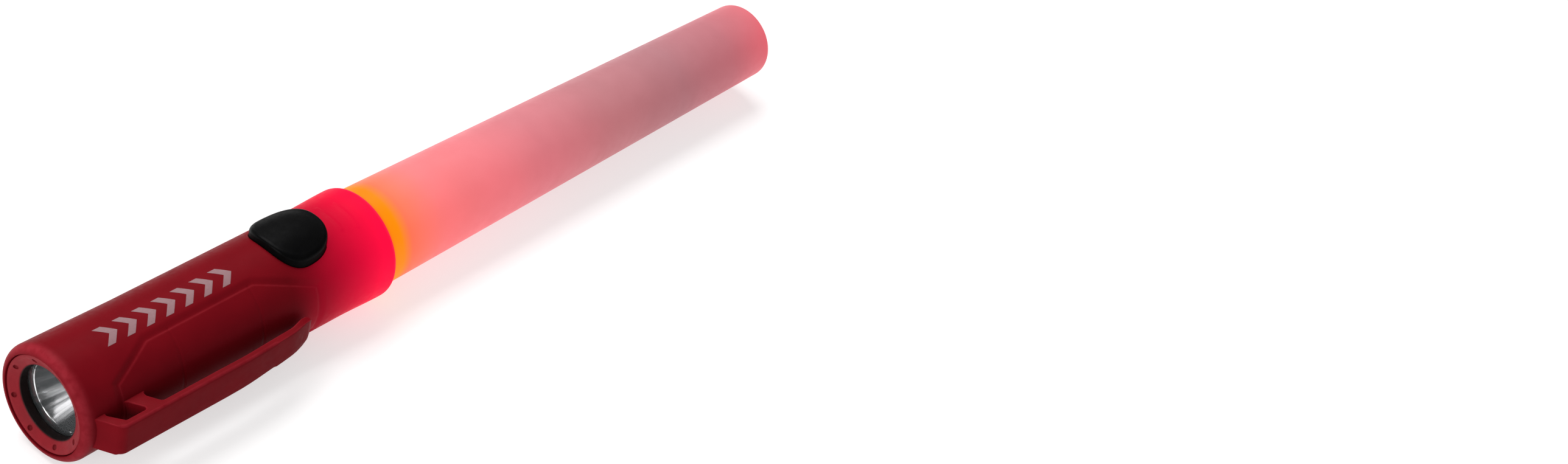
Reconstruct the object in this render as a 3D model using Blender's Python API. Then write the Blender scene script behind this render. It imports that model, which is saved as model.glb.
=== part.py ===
"""Traffic baton light: a torch head on a battery body with a belt clip, and a frosted light wand.

Sizes are in metres. Every piece is modelled in the baton's own axes: X runs from the front rim
to the tip of the wand, +Z passes through the middle of the button, and the clip is on the -Y side.
One empty then lays the baton on the ground, centred on the origin.
"""

import math

import bmesh
import bpy
from mathutils import Matrix, Vector

MM = 0.001

# Fits
GAP = 0.3 * MM                  # clearance between pieces that touch
SLIDE_FIT = 0.4 * MM            # clearance of the wand plug in the bore

# Battery cells and the bore that they set
CELL_RADIUS = 5.25 * MM
CELL_LENGTH = 44.5 * MM
CELL_SPACING = 0.5 * MM         # between neighbouring cells
CARRIER_MARGIN = 0.4 * MM       # carrier plate beyond the cells
STRIP_ROOM = 1.5 * MM           # between the carrier and the bore, for the contact strip
WALL = 2.4 * MM                 # body shell
FLARE = 0.4 * MM                # the head and the collar stand this much beyond the barrel
MOUTH_LIP = 1.4 * MM            # collar wall around the base of the wand
MOUTH_ROUND = 1.2 * MM          # length of the round at the end of the collar

# Torch head, front to back
RIM_ROUND_RADIAL = 2.1 * MM
RIM_ROUND_AXIAL = 2.7 * MM
FRONT_LAND = 0.2 * MM           # flat of the front rim, between its round and the bezel ring
RING_RECESS = 0.4 * MM
RING_DISH = 1.8 * MM            # from the edge of the bezel ring back to its opening
RING_LAND = 0.5 * MM            # flat edge of the bezel ring, outside its dish
RING_BACK = 4.2 * MM
DIMPLE_COUNT = 8
DIMPLE_RADIUS = 0.55 * MM
DIMPLE_DEPTH = 0.5 * MM
LENS_THICKNESS = 1.0 * MM
LENS_COVER = 1.7 * MM           # how far the bezel ring reaches in over the lens
LENS_SEAL_WIRE = 0.5 * MM       # radius of the seal's round section
FLANGE_THICKNESS = 0.8 * MM
REFLECTOR_DEPTH = 11.5 * MM
REFLECTOR_WALL = 0.8 * MM
REFLECTOR_NECK = 2.8 * MM
LED_RADIUS = 2.2 * MM
LED_HEIGHT = 2.0 * MM
LED_BOARD_RADIUS = 8.0 * MM
LED_BOARD_THICKNESS = 1.6 * MM
HEAT_SINK_THICKNESS = 6.0 * MM
CONTACT_BOARD_THICKNESS = 1.2 * MM
FRONT_SPRING_LENGTH = 3.7 * MM
FRONT_SPRING_RADIUS = 2.6 * MM
FRONT_SPRING_TURNS = 2.5

# Battery carrier
CARRIER_PLATE = 1.6 * MM
CELL_SPRING_LENGTH = 2.0 * MM
CELL_SPRING_RADIUS = 2.4 * MM
CELL_SPRING_TURNS = 2.0
CONTACT_TAB_THICKNESS = 0.4 * MM
CONTACT_TAB_RADIUS = 3.4 * MM
CELL_NUB_RADIUS = 1.9 * MM
CELL_NUB_LENGTH = 1.2 * MM
CELL_CHAMFER = 0.4 * MM
CARRIER_BAR_WIDTH = 2.4 * MM
SPRING_WIRE = 0.3 * MM          # radius of the spring wire
STRIP_WIDTH = 4.0 * MM
STRIP_THICKNESS = 0.4 * MM

# Wand
WAND_LENGTH = 173.6 * MM        # from the collar to the tip
WAND_TIP_RADIUS = 11.9 * MM
WAND_WALL = 1.6 * MM
WAND_SEAT = 5.0 * MM            # depth of the wand in the mouth of the collar
TIP_ROUND_RADIAL = 4.2 * MM
TIP_ROUND_AXIAL = 3.0 * MM
TIP_CROWN = 0.6 * MM
TIP_DISC_INSET = 6.0 * MM
TIP_DISC_THICKNESS = 1.2 * MM
PLUG_LENGTH = 8.2 * MM          # plug ahead of the seat of the wand
PLUG_WALL = 1.8 * MM
PLUG_NECK_LENGTH = 8.0 * MM     # plug inside the wand
PLUG_SHELF = 2.4 * MM           # width of the shelf that the light board rests on
PLUG_SHELF_THICKNESS = 1.0 * MM
PLUG_BOARD_INSET = 1.2 * MM
PLUG_SEAL_WIRE = 0.8 * MM
PLUG_SEAL_PLACE = 5.4 * MM      # from the front of the plug to the middle of its seal
WAND_BOARD_THICKNESS = 1.2 * MM
WAND_LED_RADIUS = 2.5 * MM
WAND_LED_HEIGHT = 2.4 * MM
WAND_SPRING_REACH = 13.2 * MM   # contact spring, from the carrier to the plug
WAND_SPRING_RADIUS = 4.0 * MM
WAND_SPRING_TURNS = 5.0
WAND_SPRING_WIRE = 0.45 * MM    # radius of its wire

# Button and switch
BUTTON_LENGTH = 19.0 * MM
BUTTON_WIDTH = 19.6 * MM
BUTTON_PROUD = 3.1 * MM         # crown above the barrel
BUTTON_EDGE_PROUD = 2.0 * MM    # rim above the barrel
BUTTON_EDGE_ROUND = 0.6 * MM    # height of the round at its rim
BUTTON_SQUARENESS = 0.8         # 1 is an ellipse from above, less is squarer
BUTTON_NARROWING = 0.06         # how much narrower it is to the rear, wider to the front
BUTTON_TRAVEL = 0.8 * MM
BUTTON_SKIRT = 1.6 * MM         # thickness of the skirt
BUTTON_BACK_FROM_MOUTH = 26.7 * MM  # from the middle of the button to the end of the collar
BUTTON_FOOT_MARGIN = 0.5 * MM
BUTTON_ROOF = 1.3 * MM          # height of the nub that presses the switch
BUTTON_NUB_RADIUS = 2.0 * MM
SWITCH_BOARD_THICKNESS = 0.8 * MM
SWITCH_BOARD_LENGTH = 15.0 * MM
SWITCH_SIZE = 6.0 * MM
SWITCH_HEIGHT = 2.2 * MM
PLUNGER_RADIUS = 1.6 * MM
PLUNGER_PROUD = 1.1 * MM        # plunger above the switch housing
PLUNGER_TRAVEL = 0.56 * MM
SWITCH_FLOOR = 0.5 * MM

# Belt clip
BELT_GAP = 4.5 * MM
CLIP_THICKNESS = 2.05 * MM
CLIP_WIDTH = 9.8 * MM
CLIP_TIP_WIDTH = 7.6 * MM
CLIP_START = 3.0 * MM           # front of the clip's foot
CLIP_SPLIT = 22.0 * MM          # where the springy arm begins
CLIP_BEND = 48.0 * MM           # where the arm starts to lean in
CLIP_TIP = 76.0 * MM
CLIP_LEAN = 1.4 * MM            # how far the arm leans in before its tip
CLIP_TIP_LENGTH = 9.0 * MM      # the part of the arm that turns in at the tip
CLIP_TIP_LIFT = 0.6 * MM        # tip above the barrel
CLIP_EDGE = 1.0 * MM            # rounding of the clip's long edges
CLIP_SKIN = 0.05 * MM           # how far the rounding starts outside the clip's flat
CLIP_FOOT_SINK = 0.6 * MM       # how far the foot's slope starts inside the shell
HOLE_CORNER = 0.6 * MM          # inner corner of the lanyard hole, by the foot
FOOT_SLOPE = 3.6 * MM           # how far back the foot's outer end lies
FOOT_THICKNESS = 2.3 * MM
FOOT_CORNER = 3.0 * MM
WEB_START = 14.0 * MM
WEB_THICKNESS = 4.2 * MM
WEB_SLOPE = 2.4 * MM

# Sizes that follow
CELL_CIRCLE = (2 * CELL_RADIUS + CELL_SPACING) / math.sqrt(3)
CARRIER_RADIUS = CELL_CIRCLE + CELL_RADIUS + CARRIER_MARGIN
CARRIER_FLAT = CELL_CIRCLE / 2 + CELL_RADIUS + GAP
BORE_RADIUS = CARRIER_RADIUS + STRIP_ROOM
BODY_RADIUS = BORE_RADIUS + WALL
END_RADIUS = BODY_RADIUS + FLARE
MOUTH_RADIUS = END_RADIUS - MOUTH_LIP
WAND_BASE_RADIUS = MOUTH_RADIUS - GAP
RING_POCKET_RADIUS = END_RADIUS - RIM_ROUND_RADIAL - FRONT_LAND
RING_RADIUS = RING_POCKET_RADIUS - GAP
LENS_RADIUS = BORE_RADIUS - 2 * GAP - 2 * LENS_SEAL_WIRE
OPENING_RADIUS = LENS_RADIUS - LENS_COVER

LENS_FRONT = RING_BACK + GAP
FLANGE_FRONT = LENS_FRONT + LENS_THICKNESS + GAP
REFLECTOR_BACK = FLANGE_FRONT + REFLECTOR_DEPTH
LED_BOARD_FRONT = REFLECTOR_BACK + GAP
HEAT_SINK_FRONT = LED_BOARD_FRONT + LED_BOARD_THICKNESS + GAP
CONTACT_BOARD_FRONT = HEAT_SINK_FRONT + HEAT_SINK_THICKNESS + GAP
FRONT_SPRING_START = CONTACT_BOARD_FRONT + CONTACT_BOARD_THICKNESS + GAP
CARRIER_FRONT = FRONT_SPRING_START + FRONT_SPRING_LENGTH + GAP
CELL_SPRING_ROOM = CELL_SPRING_LENGTH + 2 * GAP
CONTACT_TAB_ROOM = CONTACT_TAB_THICKNESS + 2 * GAP
CARRIER_LENGTH = 2 * CARRIER_PLATE + CELL_SPRING_ROOM + CELL_LENGTH + CONTACT_TAB_ROOM
CARRIER_BACK = CARRIER_FRONT + CARRIER_LENGTH
PLUG_FRONT = CARRIER_BACK + WAND_SPRING_REACH
WAND_START = PLUG_FRONT + PLUG_LENGTH
BODY_LENGTH = WAND_START + WAND_SEAT
BATON_LENGTH = BODY_LENGTH + WAND_LENGTH
WAND_TOTAL = WAND_LENGTH + WAND_SEAT

BUTTON_MIDDLE = BODY_LENGTH - BUTTON_BACK_FROM_MOUTH
SWITCH_BOARD_BOTTOM = CARRIER_FLAT + GAP
SWITCH_BOARD_TOP = SWITCH_BOARD_BOTTOM + SWITCH_BOARD_THICKNESS
SWITCH_BOTTOM = SWITCH_BOARD_TOP + GAP
SWITCH_TOP = SWITCH_BOTTOM + SWITCH_HEIGHT
PLUNGER_BOTTOM = SWITCH_BOTTOM + SWITCH_FLOOR + PLUNGER_TRAVEL + GAP
PLUNGER_TOP = SWITCH_TOP + PLUNGER_PROUD
NUB_BOTTOM = PLUNGER_TOP + GAP
BUTTON_BOTTOM = SWITCH_BOARD_TOP + GAP + BUTTON_TRAVEL + BUTTON_FOOT_MARGIN
BUTTON_TOP = BODY_RADIUS + BUTTON_PROUD

CLIP_INNER = BODY_RADIUS + BELT_GAP
CLIP_OUTER = CLIP_INNER + CLIP_THICKNESS
CLIP_ROOT = BODY_RADIUS - WALL / 2

ROUND_STEPS = 48
SMALL_STEPS = 24
SEAL_STEPS = 32
SEAL_SIDES = 8
SPRING_SIDES = 5
SPRING_STEPS_PER_TURN = 10


def clear_scene():
    for thing in list(bpy.data.objects):
        bpy.data.objects.remove(thing, do_unlink=True)


def finish_material(name, colour, roughness, metallic=0.0):
    """A plain Principled material in the piece's own colour."""
    material = bpy.data.materials.new(name)
    material.use_nodes = True
    shader = material.node_tree.nodes["Principled BSDF"]
    shader.inputs["Base Color"].default_value = (*colour, 1.0)
    shader.inputs["Roughness"].default_value = roughness
    shader.inputs["Metallic"].default_value = metallic
    return material


FINISHES = {
    "red_plastic": ((0.30, 0.014, 0.020), 0.42, 0.0),
    "frosted_red": ((0.75, 0.22, 0.26), 0.50, 0.0),
    "black_rubber": ((0.012, 0.012, 0.013), 0.60, 0.0),
    "clear_lens": ((0.85, 0.88, 0.90), 0.05, 0.0),
    "chrome": ((0.85, 0.85, 0.86), 0.08, 1.0),
    "led_white": ((0.95, 0.92, 0.75), 0.30, 0.0),
    "led_red": ((0.95, 0.25, 0.10), 0.30, 0.0),
    "board_green": ((0.03, 0.16, 0.06), 0.50, 0.0),
    "aluminium": ((0.70, 0.71, 0.72), 0.35, 1.0),
    "black_plastic": ((0.02, 0.02, 0.022), 0.50, 0.0),
    "spring_steel": ((0.60, 0.60, 0.58), 0.30, 1.0),
    "brass": ((0.70, 0.50, 0.20), 0.30, 1.0),
    "cell_wrap": ((0.06, 0.09, 0.14), 0.40, 0.0),
    "white_plastic": ((0.82, 0.80, 0.78), 0.40, 0.0),
}


def new_object(name, shape, finish, axes, place=(0.0, 0.0, 0.0)):
    """Turns a bmesh into a shaded object in the baton's axes."""
    bmesh.ops.remove_doubles(shape, verts=shape.verts, dist=1e-6)
    bmesh.ops.recalc_face_normals(shape, faces=shape.faces)
    mesh = bpy.data.meshes.new(name)
    shape.to_mesh(mesh)
    shape.free()
    mesh.shade_smooth()
    mesh.set_sharp_from_angle(angle=math.radians(32))
    thing = bpy.data.objects.new(name, mesh)
    bpy.context.scene.collection.objects.link(thing)
    thing.parent = axes
    thing.location = place
    if finish:
        thing.data.materials.append(finish_material(name + "_finish", *FINISHES[finish]))
    return thing


def turned(outline, steps=ROUND_STEPS, closed=True):
    """A solid of revolution about X. The outline is (x, radius), open where it ends on the axis."""
    shape = bmesh.new()
    points = [shape.verts.new((x, 0.0, radius)) for x, radius in outline]
    ends = list(zip(points, points[1:]))
    if closed:
        ends.append((points[-1], points[0]))
    edges = [shape.edges.new(pair) for pair in ends]
    bmesh.ops.spin(shape, geom=points + edges, cent=(0, 0, 0), axis=(1, 0, 0),
                   angle=2 * math.pi, steps=steps, use_merge=True)
    return shape


def arc(centre_x, centre_r, across_x, across_r, start, stop, count):
    """Points of an elliptical arc in the outline plane, from start to stop degrees."""
    points = []
    for step in range(count + 1):
        turn = math.radians(start + (stop - start) * step / count)
        points.append((centre_x + across_x * math.cos(turn), centre_r + across_r * math.sin(turn)))
    return points


def disc(front, thickness, radius, hole=0.0, steps=ROUND_STEPS):
    """A flat disc or washer about X."""
    back = front + thickness
    if hole:
        return turned([(front, hole), (front, radius), (back, radius), (back, hole)], steps)
    return turned([(front, 0.0), (front, radius), (back, radius), (back, 0.0)], steps, closed=False)


def seal_ring(middle_x, middle_radius, wire):
    """A round-section rubber ring about X."""
    last_side = 360 - 360 / SEAL_SIDES
    return turned(arc(middle_x, middle_radius, wire, wire, 0, last_side, SEAL_SIDES - 1), SEAL_STEPS)


def prism(outline, low, high, frame=None):
    """Extrudes a flat outline from low to high along Z, then sets it in a frame."""
    shape = bmesh.new()
    face = shape.faces.new([shape.verts.new((a, b, low)) for a, b in outline])
    pushed = bmesh.ops.extrude_face_region(shape, geom=[face])
    tops = [item for item in pushed["geom"] if isinstance(item, bmesh.types.BMVert)]
    bmesh.ops.translate(shape, vec=(0, 0, high - low), verts=tops)
    if frame:
        bmesh.ops.transform(shape, matrix=frame, verts=shape.verts)
    return shape


def block(size, middle):
    """A box of a size, about its middle."""
    shape = bmesh.new()
    bmesh.ops.create_cube(shape, size=1.0, matrix=Matrix.Translation(middle) @ Matrix.Diagonal((*size, 1.0)))
    return shape


def upright_pin(radius, low, high):
    """A plain round pin along Z."""
    shape = bmesh.new()
    bmesh.ops.create_cone(shape, cap_ends=True, segments=SMALL_STEPS, radius1=radius, radius2=radius,
                          depth=high - low, matrix=Matrix.Translation((0.0, 0.0, (low + high) / 2)))
    return shape


def coil(start, length, radius, end_radius, turns, wire):
    """A coil spring along X, with flat-cut ends."""
    shape = bmesh.new()
    steps = int(turns * SPRING_STEPS_PER_TURN)
    rings = []
    for step in range(steps + 1):
        share = step / steps
        turn = 2 * math.pi * turns * share
        reach = radius + (end_radius - radius) * share
        centre = Vector((start + wire + (length - 2 * wire) * share,
                         reach * math.sin(turn), reach * math.cos(turn)))
        outward = Vector((0.0, math.sin(turn), math.cos(turn)))
        ring = []
        for side in range(SPRING_SIDES):
            side_turn = 2 * math.pi * side / SPRING_SIDES
            offset = outward * math.cos(side_turn) + Vector((1.0, 0.0, 0.0)) * math.sin(side_turn)
            ring.append(shape.verts.new(centre + offset * wire))
        rings.append(ring)
    for near, far in zip(rings, rings[1:]):
        for side in range(SPRING_SIDES):
            after = (side + 1) % SPRING_SIDES
            shape.faces.new((near[side], near[after], far[after], far[side]))
    shape.faces.new(rings[0])
    shape.faces.new(rings[-1])
    return shape


def cut(target, tool, operation="DIFFERENCE"):
    """Adds an exact Boolean and hides its tool."""
    tool.hide_render = True
    tool.display_type = "WIRE"
    boolean = target.modifiers.new(operation.title(), "BOOLEAN")
    boolean.operation = operation
    boolean.solver = "EXACT"
    boolean.object = tool


def button_outline(margin):
    """The button from above: a rounded shield, a little narrower to the rear."""
    points = []
    count = 40
    for step in range(count):
        turn = 2 * math.pi * step / count
        along = math.copysign(abs(math.cos(turn)) ** BUTTON_SQUARENESS, math.cos(turn))
        across = math.copysign(abs(math.sin(turn)) ** BUTTON_SQUARENESS, math.sin(turn))
        narrowing = 1.0 - BUTTON_NARROWING * along
        points.append(((BUTTON_LENGTH / 2 + margin) * along,
                       (BUTTON_WIDTH / 2 + margin) * across * narrowing))
    return points


def body_outline():
    """Barrel with a flared head and collar outside, and the stepped bore inside."""
    rim = arc(RIM_ROUND_AXIAL, END_RADIUS - RIM_ROUND_RADIAL, -RIM_ROUND_AXIAL, RIM_ROUND_RADIAL, 0, 90, 6)
    lip = arc(BODY_LENGTH - MOUTH_ROUND, END_RADIUS - MOUTH_ROUND / 2,
              MOUTH_ROUND, MOUTH_ROUND / 2, 90, 0, 4)
    waist = [(CARRIER_FRONT, BODY_RADIUS), (BUTTON_MIDDLE + BUTTON_LENGTH / 2, BODY_RADIUS)]
    inside = [
        (BODY_LENGTH, MOUTH_RADIUS),
        (WAND_START - GAP, MOUTH_RADIUS),
        (WAND_START - GAP, BORE_RADIUS),
        (RING_BACK + GAP, BORE_RADIUS),
        (RING_BACK + GAP, RING_POCKET_RADIUS),
        (0.0, RING_POCKET_RADIUS),
    ]
    return rim + waist + lip + inside


def make_clip_root(axes):
    """The clip's foot and web, which stand on the body and leave the lanyard hole between them."""
    outer_turn = arc(CLIP_START + FOOT_SLOPE + FOOT_CORNER, CLIP_OUTER - FOOT_CORNER,
                     FOOT_CORNER, FOOT_CORNER, 205, 90, 5)
    web_end = WEB_START + WEB_THICKNESS
    hole_front = CLIP_START + FOOT_THICKNESS
    hole_corner = hole_front + FOOT_SLOPE
    side = [
        (CLIP_START, CLIP_ROOT),
        (CLIP_START, BODY_RADIUS - CLIP_FOOT_SINK),
        *outer_turn,
        (CLIP_SPLIT, CLIP_OUTER),
        (CLIP_SPLIT, CLIP_INNER),
        (web_end + WEB_SLOPE, CLIP_INNER),
        (web_end, BODY_RADIUS),
        (web_end, CLIP_ROOT),
        (WEB_START, CLIP_ROOT),
        (WEB_START, BODY_RADIUS),
        (WEB_START + WEB_SLOPE, CLIP_INNER),
        (hole_corner + HOLE_CORNER, CLIP_INNER),
        (hole_corner, CLIP_INNER - HOLE_CORNER),
        (hole_front, BODY_RADIUS - CLIP_FOOT_SINK),
        (hole_front, CLIP_ROOT),
    ]
    outline = [(x, -reach) for x, reach in side]
    root = new_object("clip_root_tool", prism(outline, -CLIP_WIDTH, CLIP_WIDTH), None, axes)
    half = CLIP_WIDTH / 2
    middle = CLIP_OUTER + CLIP_SKIN - CLIP_EDGE
    rounded = [
        (CLIP_ROOT - WALL, -half),
        *arc(middle, -(half - CLIP_EDGE), CLIP_EDGE, CLIP_EDGE, -90, 0, 3),
        *arc(middle, half - CLIP_EDGE, CLIP_EDGE, CLIP_EDGE, 0, 90, 3),
        (CLIP_ROOT - WALL, half),
    ]
    stand = Matrix(((0, 0, 1, 0), (-1, 0, 0, 0), (0, 1, 0, 0), (0, 0, 0, 1)))
    envelope = prism(rounded, CLIP_START - WALL, CLIP_SPLIT + WALL, stand)
    cut(root, new_object("clip_envelope_tool", envelope, None, axes), "INTERSECT")
    return root


def make_body(axes):
    body = new_object("body_shell", turned(body_outline()), "red_plastic", axes)
    cut(body, make_clip_root(axes), "UNION")
    opening = new_object("button_opening_tool", prism(button_outline(GAP), 0.0, BUTTON_TOP), None, axes,
                         (BUTTON_MIDDLE, 0.0, 0.0))
    cut(body, opening)


def make_bezel_ring(axes):
    """The dished ring that holds the lens, with a circle of dimples."""
    outline = [
        (RING_RECESS, RING_RADIUS),
        (RING_RECESS, RING_RADIUS - RING_LAND),
        (RING_RECESS + RING_DISH, OPENING_RADIUS),
        (RING_BACK, OPENING_RADIUS),
        (RING_BACK, RING_RADIUS),
    ]
    ring = new_object("bezel_ring", turned(outline), "red_plastic", axes)
    circle = (RING_RADIUS + OPENING_RADIUS) / 2
    surface = RING_RECESS + RING_DISH / 2
    tools = bmesh.new()
    for number in range(DIMPLE_COUNT):
        turn = 2 * math.pi * (number + 0.5) / DIMPLE_COUNT
        place = Vector((surface, circle * math.sin(turn), circle * math.cos(turn)))
        across = Matrix.Rotation(math.pi / 2, 4, "Y")
        bmesh.ops.create_cone(tools, cap_ends=True, segments=8, radius1=DIMPLE_RADIUS, radius2=DIMPLE_RADIUS,
                              depth=2 * DIMPLE_DEPTH, matrix=Matrix.Translation(place) @ across)
    cut(ring, new_object("dimple_tool", tools, None, axes))


def make_torch_optics(axes):
    new_object("front_lens", disc(LENS_FRONT, LENS_THICKNESS, LENS_RADIUS), "clear_lens", axes)
    seal_radius = LENS_RADIUS + GAP + LENS_SEAL_WIRE
    seal_middle = LENS_FRONT + LENS_SEAL_WIRE
    new_object("lens_seal", seal_ring(seal_middle, seal_radius, LENS_SEAL_WIRE), "black_rubber", axes)
    flange_back = FLANGE_FRONT + FLANGE_THICKNESS
    inside = []
    outside = []
    count = 10
    depth = REFLECTOR_BACK - FLANGE_FRONT
    for step in range(count + 1):
        share = step / count
        radius = REFLECTOR_NECK + (OPENING_RADIUS - REFLECTOR_NECK) * math.sqrt(1.0 - share)
        inside.append((FLANGE_FRONT + depth * share, radius))
        if FLANGE_FRONT + depth * share > flange_back:
            outside.append((FLANGE_FRONT + depth * share, radius + REFLECTOR_WALL))
    flange = [
        (flange_back, OPENING_RADIUS + REFLECTOR_WALL),
        (flange_back, BORE_RADIUS - GAP),
        (FLANGE_FRONT, BORE_RADIUS - GAP),
    ]
    new_object("reflector", turned(inside + outside[::-1] + flange), "chrome", axes)


def make_front_light(axes):
    base = LED_BOARD_FRONT - GAP
    dome = arc(base - LED_HEIGHT + LED_RADIUS, 0.0, -LED_RADIUS, LED_RADIUS, 0, 60, 4)
    dome = [(max(x, base - LED_HEIGHT), radius) for x, radius in dome]
    light = turned([*dome, (base, LED_RADIUS), (base, 0.0)], SMALL_STEPS, closed=False)
    new_object("front_led", light, "led_white", axes)
    board = disc(LED_BOARD_FRONT, LED_BOARD_THICKNESS, LED_BOARD_RADIUS, steps=SMALL_STEPS)
    new_object("front_led_board", board, "board_green", axes)
    sink_radius = BORE_RADIUS - GAP
    sink = disc(HEAT_SINK_FRONT, HEAT_SINK_THICKNESS, sink_radius)
    new_object("heat_sink", sink, "aluminium", axes)
    contact = disc(CONTACT_BOARD_FRONT, CONTACT_BOARD_THICKNESS, sink_radius)
    new_object("front_contact_board", contact, "board_green", axes)
    spring = coil(FRONT_SPRING_START, FRONT_SPRING_LENGTH, FRONT_SPRING_RADIUS, FRONT_SPRING_RADIUS,
                  FRONT_SPRING_TURNS, SPRING_WIRE)
    new_object("front_contact_spring", spring, "spring_steel", axes)


def make_contact_strip(axes):
    """The strip along the bottom of the bore that joins the front board to the wand's plug."""
    start = FRONT_SPRING_START
    length = PLUG_FRONT - GAP - start
    edge = math.sqrt((BORE_RADIUS - GAP) ** 2 - (STRIP_WIDTH / 2) ** 2)
    middle = (start + length / 2, 0.0, -(edge - STRIP_THICKNESS / 2))
    new_object("contact_strip", block((length, STRIP_WIDTH, STRIP_THICKNESS), middle), "brass", axes)


def cell_places():
    """Turn from the top, and the middle, of each cell in the carrier."""
    for turn in (math.pi, math.pi / 3, -math.pi / 3):
        yield turn, Vector((0.0, CELL_CIRCLE * math.sin(turn), CELL_CIRCLE * math.cos(turn)))


def flat_topped_plate(front):
    """A round carrier plate with a flat top, which clears the switch board."""
    half = math.degrees(math.asin(CARRIER_FLAT / CARRIER_RADIUS))
    outline = arc(0.0, 0.0, CARRIER_RADIUS, CARRIER_RADIUS, half, half - 180 - 2 * half, 36)
    stand = Matrix(((0, 0, 1, 0), (1, 0, 0, 0), (0, 1, 0, 0), (0, 0, 0, 1)))
    return prism(outline, front, front + CARRIER_PLATE, stand)


def make_carrier(axes):
    """The battery carrier: two end plates joined by a bar in each gap between the cells."""
    carrier = new_object("carrier_frame", flat_topped_plate(CARRIER_FRONT), "black_plastic", axes)
    rear = new_object("carrier_rear_tool", flat_topped_plate(CARRIER_BACK - CARRIER_PLATE), None, axes)
    cut(carrier, rear, "UNION")
    half_bar = CARRIER_BAR_WIDTH / 2
    across = CELL_CIRCLE * math.sqrt(3) / 2 - half_bar
    reach = CELL_RADIUS + GAP
    bar_inner = CELL_CIRCLE / 2 + math.sqrt(reach ** 2 - across ** 2)
    for number, turn in enumerate((0.0, 2 * math.pi / 3, -2 * math.pi / 3), 1):
        bar_outer = CARRIER_FLAT - GAP if turn == 0.0 else CARRIER_RADIUS - GAP
        size = (CARRIER_LENGTH - CARRIER_PLATE, CARRIER_BAR_WIDTH, bar_outer - bar_inner)
        middle = (CARRIER_FRONT + CARRIER_LENGTH / 2, 0.0, (bar_outer + bar_inner) / 2)
        bar = block(size, middle)
        bmesh.ops.rotate(bar, cent=(0, 0, 0), matrix=Matrix.Rotation(turn, 3, "X"), verts=bar.verts)
        cut(carrier, new_object(f"carrier_bar_tool_{number}", bar, None, axes), "UNION")


def make_cells(axes):
    """Three cells in series, each with a spring at one end and a contact tab at the other."""
    inner_start = CARRIER_FRONT + CARRIER_PLATE
    can_length = CELL_LENGTH - CELL_NUB_LENGTH
    for number, (turn, place) in enumerate(cell_places(), 1):
        spring_start = inner_start + GAP
        cell_start = inner_start + CELL_SPRING_ROOM
        tab_start = cell_start + CELL_LENGTH + GAP
        shoulder = cell_start + can_length
        outline = [
            (cell_start, 0.0),
            (cell_start, CELL_RADIUS - CELL_CHAMFER),
            (cell_start + CELL_CHAMFER, CELL_RADIUS),
            (shoulder - CELL_CHAMFER, CELL_RADIUS),
            (shoulder, CELL_RADIUS - CELL_CHAMFER),
            (shoulder, CELL_NUB_RADIUS),
            (cell_start + CELL_LENGTH, CELL_NUB_RADIUS),
            (cell_start + CELL_LENGTH, 0.0),
        ]
        cell = turned(outline, SMALL_STEPS, closed=False)
        new_object(f"cell_{number}", cell, "cell_wrap", axes, place)
        spring = coil(spring_start, CELL_SPRING_LENGTH, CELL_SPRING_RADIUS, CELL_SPRING_RADIUS,
                      CELL_SPRING_TURNS, SPRING_WIRE)
        new_object(f"cell_spring_{number}", spring, "spring_steel", axes, place)
        tab = disc(tab_start, CONTACT_TAB_THICKNESS, CONTACT_TAB_RADIUS, steps=SMALL_STEPS)
        new_object(f"contact_tab_{number}", tab, "brass", axes, place)


def wand_radius(x):
    """Outer radius of the wand's taper."""
    share = (x - WAND_START) / (WAND_TOTAL - TIP_ROUND_AXIAL - TIP_CROWN)
    return WAND_BASE_RADIUS + (WAND_TIP_RADIUS - WAND_BASE_RADIUS) * share


def make_wand_tube(axes):
    """The frosted tube: a tapered wall, closed by a soft-edged tip with a slight crown."""
    shoulder = BATON_LENGTH - TIP_CROWN - TIP_ROUND_AXIAL
    count = 6
    outer = []
    for step in range(count):
        x = WAND_START + (shoulder - WAND_START) * step / count
        outer.append((x, wand_radius(x)))
    rounding = arc(shoulder, WAND_TIP_RADIUS - TIP_ROUND_RADIAL,
                   TIP_ROUND_AXIAL, TIP_ROUND_RADIAL, 90, 10, 6)
    crown = [(BATON_LENGTH - TIP_CROWN / 4, (WAND_TIP_RADIUS - TIP_ROUND_RADIAL) * 0.6), (BATON_LENGTH, 0.0)]
    inner_end = BATON_LENGTH - TIP_CROWN - WAND_WALL
    inner_tip = WAND_TIP_RADIUS - WAND_WALL
    inner = [
        (inner_end, 0.0),
        (inner_end, inner_tip - TIP_ROUND_RADIAL + WAND_WALL),
        (shoulder, inner_tip),
    ]
    inner += [(x, radius - WAND_WALL) for x, radius in outer[::-1]]
    tube = turned(inner + outer + rounding + crown, closed=False)
    new_object("wand_tube", tube, "frosted_red", axes)
    disc_front = BATON_LENGTH - TIP_DISC_INSET - TIP_DISC_THICKNESS
    disc_radius = wand_radius(disc_front + TIP_DISC_THICKNESS) - WAND_WALL - GAP
    new_object("tip_reflector", disc(disc_front, TIP_DISC_THICKNESS, disc_radius), "white_plastic", axes)


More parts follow.
